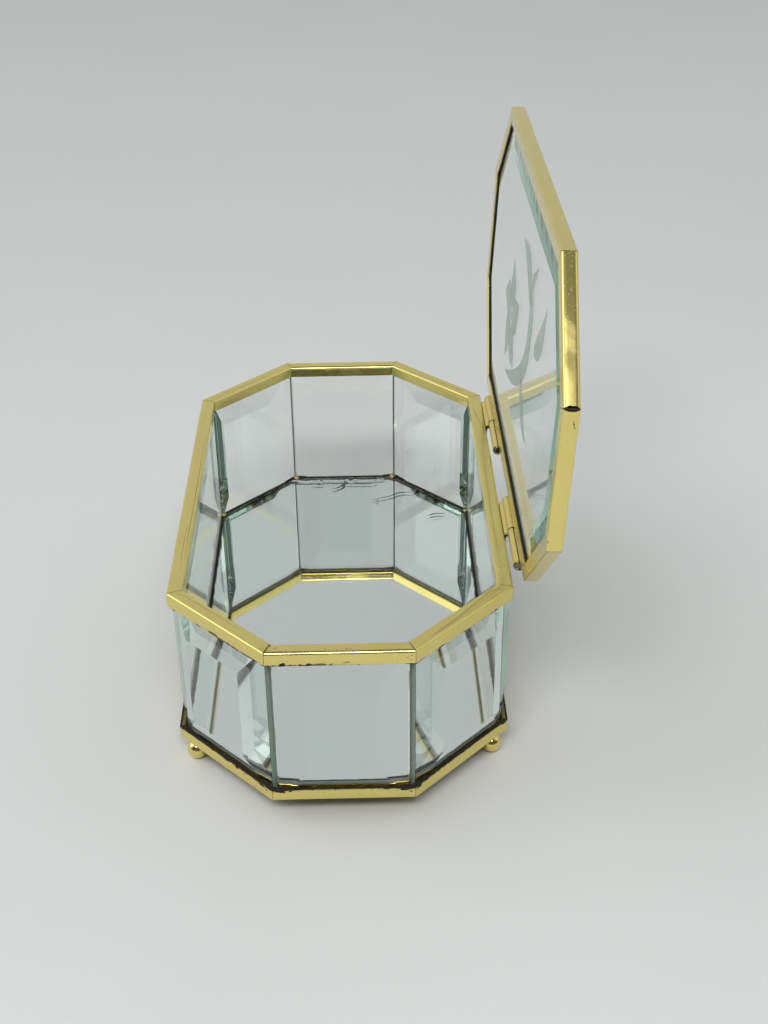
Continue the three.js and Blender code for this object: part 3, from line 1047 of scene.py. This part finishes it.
def makeChips():
    draw = random.Random(11)
    topLip = boxPlan["rimTop"] - topRim["near"]

    def makeSome(pieceName, rows, lip, lowest, material):
        bm = bmesh.new()
        for name, run, above, length, height in rows:
            for part in range(3 if length > 1.0 else 1):
                shift = draw.uniform(-0.3, 0.3) * length if part else 0.0
                lift = draw.uniform(-0.3, 0.3) * height if part else 0.0
                size = draw.uniform(0.35, 0.6) if part else 1.0

                def toSpot(u, v, depth):
                    level = lip + max(v + above + lift, lowest)
                    return onSide(boxSides[name], run + u + shift, -depth, level)

                addPlate(bm, raggedOutline(draw, length * size, height * size), toSpot, sunk,
                         chips["proud"] + 0.006 * part)
        finishMesh(pieceName, bm, finish[material], "box", smoothAngle=0, placing=ontoTable)

    makeSome("topChips", chips["topDark"], topLip, 0.0, "dirtAndShade")
    makeSome("topStains", chips["topBrown"], topLip, 0.0, "stain")
    makeSome("bottomChips", chips["bottomDark"], bottomLip, -topRim["near"] + 1.0, "dirtAndShade")
    bm = bmesh.new()
    for _ in range(chips["faceDots"]):
        side = draw.choice(sidesOf(boxPlan))
        size = draw.uniform(0.09, 0.24)
        run, face = draw.uniform(2, side["length"] - 2), draw.random()
        points = raggedOutline(draw, size * draw.uniform(1, 2.2), size, 9)
        if face < chips["dotsOnTop"]:
            toSpot = onRimTop(side, run, draw.uniform(1.0, 3.7))
        else:
            level = draw.choice((topLip, boxPlan["rimFoot"] + 0.9)) + draw.uniform(0.2, 2.6)
            toSpot = onRimFace(side, run, level)
        addPlate(bm, points, toSpot, sunk, chips["dotProud"])
    finishMesh("rimSpecks", bm, finish["dirtAndShade"], "box", smoothAngle=0, placing=ontoTable)
    print("chips made")


# Scratches on the top rim: side, [run, inset] points, width
scratches = [
    ("left", [(32, 3.5), (58, 3.62), (84, 3.55), (104, 3.7)], 0.13),
    ("left", [(84, 2.9), (96, 2.6), (109, 2.75)], 0.09),
    ("front_right", [(7.5, 1.35), (18, 1.9), (29, 2.9), (36.2, 3.9)], 0.15),
    ("front_right", [(10, 1.2), (24, 1.65), (38.5, 2.6)], 0.08),
    ("front_right", [(33.5, 3.95), (38.6, 2.3)], 0.08),
    ("front_left", [(3, 2.8), (16, 3.1), (30, 2.95)], 0.08),
    ("hinge_side", [(8, 2.6), (40, 2.9), (80, 2.5)], 0.08),
    ("hinge_side", [(96, 1.2), (104, 2.4), (112, 3.6)], 0.12),
    ("front", [(22.5, 1.5), (22.9, 2.1)], 0.22),
    ("front", [(23.5, 1.55), (23.8, 2.0)], 0.2),
    ("back_right", [(6, 2.2), (30, 2.8)], 0.08),
    ("back_left", [(12, 3.0), (34, 2.3)], 0.08),
]


scratchProud = 0.022


def makeScratches():
    bm = bmesh.new()
    for name, points, width in scratches:
        path = smoothPath(points, 8)
        shares = [min(0.92, max(0.08, i / (len(path) - 1))) for i in range(len(path))]
        widths = [width * (0.25 + 0.75 * math.sin(math.pi * share)) for share in shares]
        addPlate(bm, ribbon(path, widths), onRimTop(boxSides[name]), sunk, scratchProud)
    finishMesh("rimScratches", bm, finish["scratch"], "box", smoothAngle=0, placing=ontoTable)
    print("scratches made")


# Width of the dark line at each top corner: outer end, inner end
mitreGaps = {
    "front": (0.50, 0.20),
    "front_right": (0.24, 0.16),
    "hinge_side": (0.14, 0.10),
    "back_right": (0.12, 0.08),
    "back": (0.16, 0.08),
    "back_left": (0.12, 0.08),
    "left": (0.12, 0.10),
    "front_left": (0.16, 0.12),
}


def makeMitreGaps():
    corners = outline(boxPlan)
    inner = outline(boxPlan, topRim["web"])
    bm = bmesh.new()
    steps = 10
    for i, name in enumerate(sideNames):
        outer, inside = mitreGaps[name]
        path = [corners[i].lerp(inner[i], 0.05 + 0.9 * k / steps) for k in range(steps + 1)]
        widths = [(outer + (inside - outer) * k / steps) * (1 + 0.5 * rough(path[k], 1.6, 4.0))
                  for k in range(steps + 1)]
        addPlate(bm, ribbon([Vector(p.xy) for p in path], widths), onLevel(boxPlan["rimTop"]), -0.06, 0.012)
    finishMesh("mitreGaps", bm, finish["joint"], "box", smoothAngle=0, placing=ontoTable)
    print("mitre lines made")


seam = {
    "near": 0.02,
    "reach": 0.45,
    "halfWidth": 0.10,
    "pinched": 0.55,     # its width at the near and far ends, as shares
    "spread": 1.6,
    "low": 11.7,
    "high": 58.0,
    "levels": 24,
}


def makeSeams():
    # Thin line of adhesive where two panes meet, just outside their inner corner
    corners = outline(boxPlan, wallGlass["inset"])
    bm = bmesh.new()
    near, far, levels = seam["near"], seam["reach"], seam["levels"]
    for i, corner in enumerate(corners):
        before = (corner - corners[i - 1]).normalized()
        after = (corners[(i + 1) % 8] - corner).normalized()
        outward = -(Vector((-before.y, before.x)) + Vector((-after.y, after.x))).normalized()
        across = Vector((-outward.y, outward.x))
        rings = []
        for k in range(levels + 1):
            z = seam["low"] + (seam["high"] - seam["low"]) * k / levels
            wide = seam["halfWidth"] * (1 + 0.5 * noise.noise(Vector((i * 3.3, z * 0.4, 1.0))))
            tight, loose = wide * seam["pinched"], wide * seam["spread"]
            rings.append([bm.verts.new(Vector((*(corner + outward * a + across * b), z)) * mm)
                          for a, b in ((near, -tight), (far, -loose), (far, loose), (near, tight))])
        for lower, upper in zip(rings, rings[1:]):
            for a in range(4):
                b = (a + 1) % 4
                bm.faces.new((lower[a], lower[b], upper[b], upper[a]))
        bm.faces.new(rings[0])
        bm.faces.new(rings[-1])
    finishMesh("cornerGlue", bm, finish["glue"], "box", placing=ontoTable)
    print("corner glue made")


solder = {
    "size": 0.95,
    "level": 11.75,
    "inset": 0.35,
    "heavyCorners": (2, 3, 4, 5, 6),
    "heavy": 1.25,
    "light": 0.7,
    "balls": 4,
    "scatter": 0.5,
}


def makeSolder():
    draw = random.Random(5)
    corners = outline(boxPlan, wallGlass["inset"] + solder["inset"])
    scatter = solder["scatter"]
    bm = bmesh.new()
    for i, corner in enumerate(corners):
        heavy = solder["heavy" if i in solder["heavyCorners"] else "light"]
        for _ in range(solder["balls"]):
            ball = bmesh.ops.create_icosphere(bm, subdivisions=3, radius=1.0)["verts"]
            size = solder["size"] * heavy * draw.uniform(0.35, 0.62)
            spot = Vector((*corner.xy, solder["level"]))
            spot.x += draw.uniform(-scatter, scatter)
            spot.y += draw.uniform(-scatter, scatter)
            toMiddle = -Vector((spot.x, spot.y, 0)).normalized()
            spot += toMiddle * draw.uniform(0, scatter)
            stretch = (draw.uniform(0.8, 1.5), draw.uniform(0.8, 1.5), draw.uniform(0.5, 0.8))
            for vert in ball:
                wave = 1 + 0.35 * noise.noise(vert.co * 1.7 + Vector((i, size * 9, 0)))
                vert.co = (Vector([c * k for c, k in zip(vert.co, stretch)]) * size * wave + spot) * mm
    finishMesh("cornerSolder", bm, finish["solder"], "box", smoothAngle=60, placing=ontoTable)
    print("corner solder made")


# Lost silvering under the mirror: strokes of [x, y] points and a width
mirrorMarks = {
    "strokes": [
        ([(-12.5, 81.0), (-10.0, 80.2), (-7.8, 80.6)], 0.9),
        ([(-5.0, 76.6), (-2.6, 77.6), (-0.6, 79.6), (0.3, 82.6), (2.2, 83.2)], 1.1),
        ([(0.3, 80.6), (5.0, 80.2), (11.0, 80.4), (12.6, 81.6)], 0.7),
        ([(10.5, 67.9), (13.6, 69.4), (17.0, 70.4), (20.2, 72.6), (23.4, 73.2), (26.2, 73.2)], 0.75),
        ([(12.0, 68.0), (13.0, 66.9)], 0.5),
        ([(26.2, 73.4), (28.4, 76.0), (30.0, 75.8)], 1.3),
        ([(31.5, 56.0), (34.0, 57.3), (37.6, 57.0)], 0.8),
        ([(32.6, 54.8), (35.6, 55.6)], 0.45),
        ([(-45.6, 47.0), (-44.9, 40.0), (-45.5, 33.0)], 0.5),
        ([(-45.9, 18.0), (-45.3, 2.0), (-45.8, -12.0)], 0.45),
    ],
    "spills": [
        ([(-20.5, 83.6), (-15.0, 82.9), (-9.5, 83.4)], 1.3),
        ([(-8.6, 83.6), (-2.0, 83.0), (1.5, 83.5)], 1.6),
        ([(3.4, 83.4), (9.0, 82.9), (15.5, 83.7)], 1.2),
        ([(-33.0, 77.0), (-30.5, 78.6)], 1.0),
    ],
    "height": 11.605,
}


def makeMirrorMarks():
    draw = random.Random(23)
    bm = bmesh.new()
    for points, width in mirrorMarks["strokes"]:
        path = smoothPath(points, 9)
        path = [p + Vector((draw.uniform(-0.16, 0.16), draw.uniform(-0.22, 0.22))) for p in path]
        tapers = [math.sin(math.pi * (i + 0.6) / (len(path) + 0.2)) ** 0.5 for i in range(len(path))]
        widths = [max(0.12, width * draw.uniform(0.25, 1.0) * taper) for taper in tapers]
        addPlate(bm, ribbon(path, widths), onLevel(mirrorMarks["height"]), -0.03, 0.008)
    finishMesh("mirrorFlaws", bm, finish["flaw"], "box", smoothAngle=0, placing=ontoTable)
    bm = bmesh.new()
    for points, width in mirrorMarks["spills"]:
        path = smoothPath(points, 9)
        widths = [width * draw.uniform(0.25, 1.0) for _ in path]
        addPlate(bm, ribbon(path, widths), onLevel(mirrorMarks["height"]), -0.03, 0.012)
    finishMesh("solderSpills", bm, finish["streak"], "box", smoothAngle=0, placing=ontoTable)
    print("mirror flaws made")


# Marks on the lid frame: side, run along it, height above the underside, length, height, turn in degrees
lidMarks = {
    "stains": [
        ("front", 4.2, 3.1, 1.3, 0.34, 15), ("front", 5.1, 3.35, 0.9, 0.3, 55),
        ("front", 3.3, 2.95, 0.5, 0.2, 0), ("front", 38.5, 0.25, 0.9, 0.22, 0),
        ("front", 9.0, 2.0, 0.3, 0.14, 0), ("left", 40.0, 3.4, 1.0, 0.2, 10),
        ("left", 12.0, 2.0, 0.6, 0.14, 0), ("left", 90.0, 0.8, 0.8, 0.16, 0),
    ],
    "sunk": -0.08,
    "proud": 0.02,
    "pits": 60,
    "pitProud": 0.012,
    "pitSide": "front_left",
}


def makeLidMarks():
    draw = random.Random(41)
    places = {side["name"]: side for side in sidesOf(lidPlan)}
    low = lidPlan["low"]
    bm = bmesh.new()
    for name, run, above, length, height, turn in lidMarks["stains"]:
        c, s = math.cos(math.radians(turn)), math.sin(math.radians(turn))
        points = [(u * c - v * s, u * s + v * c) for u, v in raggedOutline(draw, length, height, 14)]
        addPlate(bm, points, onRimFace(places[name], run, low + above), lidMarks["sunk"], lidMarks["proud"])
    finishMesh("lidStains", bm, finish["stain"], "lid", smoothAngle=0, placing=swungOpen)
    bm = bmesh.new()
    side = places[lidMarks["pitSide"]]
    for k in range(lidMarks["pits"]):
        size = draw.uniform(0.08, 0.22)
        run = side["length"] * 0.8 * draw.random() ** 1.6      # crowded towards the upper end
        above = draw.uniform(0.7, 3.8)
        points = raggedOutline(draw, size * 1.6, size, 8)
        addPlate(bm, points, onRimFace(side, run, low + above), lidMarks["sunk"],
                 lidMarks["pitProud"] + 0.0002 * k)
    finishMesh("lidPits", bm, finish["pit"], "lid", smoothAngle=0, placing=swungOpen)
    print("lid marks made")


# Brown tarnish and black droplets gathered at the joints and under the lower lip
droplets = {
    "mitreStains": [("front_left", 1.0, 26), ("front", 0.0, 20), ("front", 1.0, 6), ("hinge_side", 0.0, 6)],
    "mitreReach": 2.6,
    "crustDrops": {"front_left": 150, "front": 90, "front_right": 50, "left": 16, "hinge_side": 16},
    "dropFall": 1.5,
    "stainProud": 0.014,
    "dropProud": 0.03,
}


def makeDroplets():
    draw = random.Random(53)
    bm = bmesh.new()
    for name, end, count in droplets["mitreStains"]:
        side = boxSides[name]
        for k in range(count):
            across = draw.uniform(0.4, 4.0)
            away = across * mitre + 0.15 + droplets["mitreReach"] * draw.random() ** 2.5
            run = side["length"] - away if end else away
            size = draw.uniform(0.12, 0.5)
            points = raggedOutline(draw, size, size * draw.uniform(0.4, 0.9), 9)
            addPlate(bm, points, onRimTop(side, run, across), sunk, droplets["stainProud"] + 0.0003 * k)
    finishMesh("mitreStains", bm, finish["stain"], "box", smoothAngle=0, placing=ontoTable)
    bm = bmesh.new()
    for name, count in droplets["crustDrops"].items():
        side = boxSides[name]
        for k in range(count):
            share = draw.random()
            fall = crustAt(name, share) * draw.random() ** 1.4 * droplets["dropFall"] + 0.05
            size = draw.uniform(0.10, 0.34)
            run = 0.4 + share * (side["length"] - 0.8)
            points = raggedOutline(draw, size * draw.uniform(0.8, 1.5), size, 9)
            addPlate(bm, points, onRimFace(side, run, bottomLip - fall), sunk,
                     droplets["dropProud"] + 0.0002 * k)
    finishMesh("crustDroplets", bm, finish["dirtAndShade"], "box", smoothAngle=0, placing=ontoTable)
    print("droplets made")


# Etched spray on the lid

etching = {
    "face": lidPlan["low"] + lidGlass["top"] - lidGlass["thickness"],
    "flower": (4.0, 19.0),
    "petals": 5,
    "petalLength": 18.5,
    "petalWidth": 13.0,
    "stem": [(-31, -28), (-22, -20), (-12, -23), (0, -21), (10, -11), (18, 4), (24, 21)],
    "stemWidths": [0.8, 5.4, 8.6, 8.0, 6.6, 4.6, 0.6],
    "leaves": [((-8, -34), (-29, -50), 9.0), ((-16, -20), (-27, 6), 9.0), ((8, -13), (20, -38), 7.0)],
    "heart": 1.7,            # radius of the flower's middle
    "heartSteps": 20,
    "lift": 0.012,           # the first shape's height off the glass, and each further one's step
    "step": 0.004,
    "thickness": 0.003,
}


def leafOutline(base, tip, width, steps=16):
    base, tip = Vector(base), Vector(tip)
    run = tip - base
    aside = Vector((-run.y, run.x)).normalized()
    left, right = [], []
    for k in range(steps + 1):
        t = k / steps
        half = width / 2 * math.sin(math.pi * t ** 0.8) ** 0.9 * (1 - 0.25 * t) if 0 < t < 1 else 0.02
        bend = aside * (0.12 * run.length * math.sin(math.pi * t))
        left.append(tuple(base + run * t + bend + aside * half))
        right.append(tuple(base + run * t + bend - aside * half))
    return left + right[::-1]


def makeEtching():
    shapes = []
    centre = Vector(etching["flower"])
    for k in range(etching["petals"]):
        turn = 2 * math.pi * (k + 0.3) / etching["petals"]
        away = Vector((math.cos(turn), math.sin(turn)))
        shapes.append(leafOutline(centre + away * 2.2, centre + away * etching["petalLength"],
                                  etching["petalWidth"]))
    turns = [2 * math.pi * k / etching["heartSteps"] for k in range(etching["heartSteps"])]
    shapes.append([(centre.x + etching["heart"] * math.cos(t), centre.y + etching["heart"] * math.sin(t))
                   for t in turns])
    path = smoothPath(etching["stem"], 8)
    reach = len(etching["stemWidths"]) - 1
    widths = []
    for i in range(len(path)):
        t = i / (len(path) - 1) * reach
        k = min(int(t), reach - 1)
        widths.append(etching["stemWidths"][k] * (1 - t + k) + etching["stemWidths"][k + 1] * (t - k))
    shapes.append(ribbon(path, widths))
    shapes += [leafOutline(base, tip, width) for base, tip, width in etching["leaves"]]
    bm = bmesh.new()
    for k, points in enumerate(shapes):
        low = etching["lift"] + etching["step"] * k
        addPlate(bm, points, onLevel(etching["face"]), -low, -low - etching["thickness"])
    finishMesh("lidEtching", bm, finish["frost"], "lid", smoothAngle=0, placing=swungOpen)
    print("etched spray made")


def makeOpenJoint():
    # Dark plate behind the lifted mitre at the lid's near top corner: painted shade standing in for the
    # shadow inside the open joint
    sides = {side["name"]: side for side in sidesOf(lidPlan)}
    edge, depth, steps = openJoint["edge"], openJoint["depth"], openJoint["steps"]
    points = [(openJoint["length"] * 1.1 * math.sin(math.pi * k / steps) ** 0.8 + 0.05, k / steps)
              for k in range(steps + 1)]
    points += [(-0.02, 1.0), (-0.02, 0.0)]
    bm = bmesh.new()
    for name, atEnd in (("front_left", True), ("front", False)):
        side = sides[name]

        def toSpot(u, v, deeper):
            away = u + depth * mitre
            run = side["length"] - away if atEnd else away
            return onSide(side, run, depth + deeper, lidPlan["low"] + edge + v * (lidRim["web"] - 2 * edge))

        addPlate(bm, points, toSpot, 0.0, openJoint["thickness"])
    # the dark plate paints the shade seen down the open joint
    finishMesh("openJointPaintedShade", bm, finish["dirtAndShade"], "lid", smoothAngle=0, placing=swungOpen)
    print("open joint made")


# Mirror floor

mirrorPlate = {
    "inset": 4.1,
    "low": 10.0,
    "thickness": 1.6,
    "arris": 0.15,
    "silverLow": 9.955,
    "silver": 0.03,
    "insets": (0.1, 0.5, 0.9, 1.4, 2.0, 3.0, 5.0, 9.0, 16.0, 26.0, 36.0),
    "stations": 40,      # along each side of each ring
    "spoil": 0.75,
    "backSpoil": 0.1,    # more towards the back
    "back": (60, 84),
}


def makeMirror():
    points = outline(boxPlan, mirrorPlate["inset"])
    a, high = mirrorPlate["arris"], mirrorPlate["thickness"]
    inner = insetOutline(points, a)
    bm = layeredPane([(inner, 0.0), (points, a), (points, high - a), (inner, high)], groundLayer=1)
    placing = ontoTable @ Matrix.Translation((0, 0, mirrorPlate["low"] * mm))
    plate = finishMesh("mirrorPlate", bm, finish["mirrorGlass"], "box",
                       replaced=["mirror_floor"], smoothAngle=0, placing=placing)
    plate.data.materials.append(finish["paleGround"])
    bm = bmesh.new()
    edgeLayer = bm.verts.layers.float.new("edgeDistance")
    spoilLayer = bm.verts.layers.float.new("spoil")
    stations = mirrorPlate["stations"]
    rings = []
    top = mirrorPlate["silverLow"] + mirrorPlate["silver"]
    for by in mirrorPlate["insets"]:
        ring = []
        corner = insetOutline(points, by)
        for i in range(8):
            start, end = corner[i], corner[(i + 1) % 8]
            for k in range(stations):
                p = start.lerp(end, k / stations)
                vert = bm.verts.new(Vector((p.x, p.y, top)) * mm)
                vert[edgeLayer] = by
                atBack = ramp(p.y, *mirrorPlate["back"])
                vert[spoilLayer] = mirrorPlate["spoil"] + mirrorPlate["backSpoil"] * atBack
                ring.append(vert)
        rings.append(ring)
    lowRing = [bm.verts.new(v.co - Vector((0, 0, mirrorPlate["silver"] * mm))) for v in rings[0]]
    count = len(lowRing)
    for lower, upper in zip([lowRing] + rings, rings):
        for i in range(count):
            j = (i + 1) % count
            bm.faces.new((lower[i], lower[j], upper[j], upper[i]))
    bm.faces.new(lowRing)
    bm.faces.new(rings[-1])
    finishMesh("silvering", bm, finish["silver"], "box", smoothAngle=0, placing=ontoTable)
    print("mirror floor made")


# Feet

foot = {
    "radius": 3.1,
    "centre": 2.95,
    "fromCorner": 3.8,
    "domeTurn": 62,      # where the ball meets its collar, in degrees above the middle
    "collar": 1.7,
    "neck": 0.86,
    "neckDrop": 0.22,
    "rimDrop": 0.06,
    "top": 5.98,
    "steps": 30,
    "around": 48,
}


def makeFeet():
    low, high = math.asin(-foot["centre"] / foot["radius"]), math.radians(foot["domeTurn"])
    turns = [low + (high - low) * i / foot["steps"] for i in range(foot["steps"] + 1)]
    profile = [(foot["radius"] * math.cos(t), foot["centre"] + foot["radius"] * math.sin(t)) for t in turns]
    profile.append((foot["collar"] * foot["neck"], foot["top"] - foot["neckDrop"]))
    profile.append((foot["collar"], foot["top"] - foot["rimDrop"]))
    profile.append((foot["collar"], foot["top"]))
    corner = outline(boxPlan, topRim["web"] / 2)[3]
    x = corner.x - foot["fromCorner"] * math.sqrt(0.5)
    y = corner.y + foot["fromCorner"] * math.sqrt(0.5)
    around = foot["around"]
    facing = [Vector((math.cos(2 * math.pi * k / around), math.sin(2 * math.pi * k / around), 0))
              for k in range(around)]
    spots = {"front_left": (-x, -y), "front_right": (x, -y), "back_right": (x, y), "back_left": (-x, y)}
    for name, (footX, footY) in spots.items():
        bm = bmesh.new()
        uvLayer = bm.loops.layers.uv.new("stripUV")
        rings = [[bm.verts.new((way * r + Vector((0, 0, z))) * mm) for way in facing] for r, z in profile]
        for s, (lower, upper) in enumerate(zip(rings, rings[1:])):
            for k in range(around):
                j = (k + 1) % around
                face = bm.faces.new((lower[k], lower[j], upper[j], upper[k]))
                for loop, (a, b) in zip(face.loops, ((k, s), (k + 1, s), (k + 1, s + 1), (k, s + 1))):
                    loop[uvLayer].uv = (a * 0.0004, b * 0.0003)
        bm.faces.new(rings[0])
        bm.faces.new(rings[-1])
        placing = ontoTable @ Matrix.Translation((footX * mm, footY * mm, 0))
        finishMesh(f"ballFoot_{name}", bm, finish["foot"], "box",
                   replaced=[f"foot_{name}"], placing=placing)
    print("feet made")


# Hinges

hinge = {
    "axisOut": 2.6,
    "axisUp": 0.7,
    "tube": 1.7,
    "bore": 0.95,
    "leaf": 0.5,
    "leafGap": 0.04,
    "leafTop": 0.2,
    "leafDepth": 3.4,
    "length": 36.8,
    "middles": (-32.5, 36.7),
    "gap": 0.3,
    "leafTurn": 49,      # where the leaf leaves the tube, the slit beside it and its width, in degrees
    "neckTurn": 10,
    "slit": 20,
    "leafCurl": 1.1,
    "arcSteps": 30,
    "rows": 14,
    "spoil": 0.5,
}


def knuckleProfile(towards):
    # Rolled tube with an open slit where the leaf turns into it
    back = -hinge["axisOut"] + hinge["leafGap"]
    front = back + hinge["leaf"]
    parting = lidPlan["low"] - boxPlan["rimTop"] - hinge["axisUp"] if towards > 0 else hinge["axisUp"]
    near = towards * (parting + hinge["leafTop"])
    far = near + towards * hinge["leafDepth"]
    tube, steps = hinge["tube"], hinge["arcSteps"]
    begin = 180 - towards * hinge["leafTurn"]
    end = begin - towards * (360 - hinge["leafTurn"] + hinge["neckTurn"] - hinge["slit"])
    neck = math.radians(180 - towards * hinge["neckTurn"])
    points = [(back, near), (back, far), (front, far), (front, near + towards * hinge["leafCurl"])]
    points += arc(0, 0, tube, begin, end, steps)
    points += arc(0, 0, hinge["bore"], end, end + towards * (360 - hinge["slit"]), steps)
    points.append((tube * math.cos(neck), tube * math.sin(neck)))
    return points


def makeKnuckle(name, node, towards, begin, end, body, placing):
    points = knuckleProfile(towards)
    bm = bmesh.new()
    uvLayer = bm.loops.layers.uv.new("stripUV")
    edgeLayer = bm.verts.layers.float.new("edgeDistance")
    spoilLayer = bm.verts.layers.float.new("spoil")
    rows = hinge["rows"]
    rings = []
    for s in range(rows + 1):
        y = begin + (end - begin) * s / rows
        ring = []
        for x, z in points:
            vert = bm.verts.new(Vector((lidPlan["axisX"] + x, y, lidPlan["axisZ"] + z)) * mm)
            vert[edgeLayer] = min(y - begin, end - y)
            vert[spoilLayer] = hinge["spoil"]
            ring.append(vert)
        rings.append(ring)
    count = len(points)
    for s in range(rows):
        for i in range(count):
            j = (i + 1) % count
            face = bm.faces.new((rings[s][i], rings[s][j], rings[s + 1][j], rings[s + 1][i]))
            for loop, (row, width) in zip(face.loops, ((s, i), (s, i + 1), (s + 1, i + 1), (s + 1, i))):
                loop[uvLayer].uv = (row / rows * (end - begin) * mm, width * 0.0002)
    bm.faces.new(rings[0])
    bm.faces.new(rings[-1])
    return finishMesh(name, bm, finish["hinge"], body, replaced=[node], placing=placing)


def makeHinges():
    knuckle = (hinge["length"] - hinge["gap"]) / 2
    for middle, name in zip(hinge["middles"], ("front", "back")):
        begin, end = middle - hinge["length"] / 2, middle + hinge["length"] / 2
        makeKnuckle(f"lidKnuckle_{name}", f"hinge_{name}_lid_knuckle", 1, begin, begin + knuckle,
                    "lid", swungOpen)
        makeKnuckle(f"boxKnuckle_{name}", f"hinge_{name}_box_knuckle", -1, end - knuckle, end,
                    "box", ontoTable)
    makePinEnds()
    print("hinges made")


# Dark discs at the tubes' near ends, painted shade for the hollow inside each tube: radius, lowest and
# highest above the end
pinEnd = {"discs": ((0.558, 0.05, 0.09), (1.008, -0.045, 0.0)), "steps": 28, "jag": 0.05}


def makePinEnds():
    axis = Vector((lidPlan["axisX"], 0, lidPlan["axisZ"]))
    jag, steps = pinEnd["jag"], pinEnd["steps"]
    draw = random.Random(31)
    bm = bmesh.new()
    for middle, (radius, low, high) in zip(hinge["middles"], pinEnd["discs"]):
        begin = middle - hinge["length"] / 2
        turns = [2 * math.pi * k / steps for k in range(steps)]
        points = [(radius * (1 + draw.uniform(-jag, jag)) * math.cos(t),
                   radius * (1 + draw.uniform(-jag, jag)) * math.sin(t)) for t in turns]
        addPlate(bm, points, lambda u, v, d: axis + Vector((u, begin + d, v)), low, high)
    # the dark discs paint the shade inside the open tube ends
    finishMesh("tubeEndPaintedShade", bm, finish["dirtAndShade"], "lid", smoothAngle=0, placing=swungOpen)


# Dressing of the carried-over nodes

def dressNode(node, material):
    mesh = cadNodes[node].data
    mesh.materials.clear()
    mesh.materials.append(material)


tableLook = {
    "low": (0.745, 0.752, 0.735),
    "high": (0.785, 0.792, 0.775),
    "rough": (0.55, 0.7),
    "scale": 9.0,
    "bumpDepth": 0.0001,
}
tableSize = 12.0     # metres


def makeStage():
    makeAreaLight("keyPanel", lightPlan["keyPlace"], lightPlan["keySize"], lightPlan["keyPower"])
    makeSurroundings()
    bm = bmesh.new()
    bmesh.ops.create_grid(bm, x_segments=2, y_segments=2, size=tableSize)
    mesh = bpy.data.meshes.new("table")
    bm.to_mesh(mesh)
    bm.free()
    mesh.materials.append(makePlain("paleTable", **tableLook))
    table = bpy.data.objects.new("table", mesh)
    scene.collection.objects.link(table)


makeCamera()
makeStage()
print("camera, light and table made")
makeRims()
makeLidFrame()
makeMitreFills()
makeWalls()
makeLidPane()
makeMirror()
makePacking()
makeSeams()
makeSolder()
makeChips()
makeScratches()
makeMitreGaps()
makeMirrorMarks()
makeOpenJoint()
makeLidMarks()
makeDroplets()
makeEtching()
makeFeet()
makeHinges()
for pin in ("hinge_front_pin", "hinge_back_pin"):
    dressNode(pin, finish["steel"])
dressNode("floor_backing", finish["felt"])

scene.view_settings.view_transform = "Standard"
scene.cycles.use_denoising = True
glassBounces = 90        # light runs along inside the lid pane before it leaves
scene.cycles.max_bounces = glassBounces
scene.cycles.transmission_bounces = glassBounces
scene.cycles.glossy_bounces = glassBounces
scene.cycles.transparent_max_bounces = 16
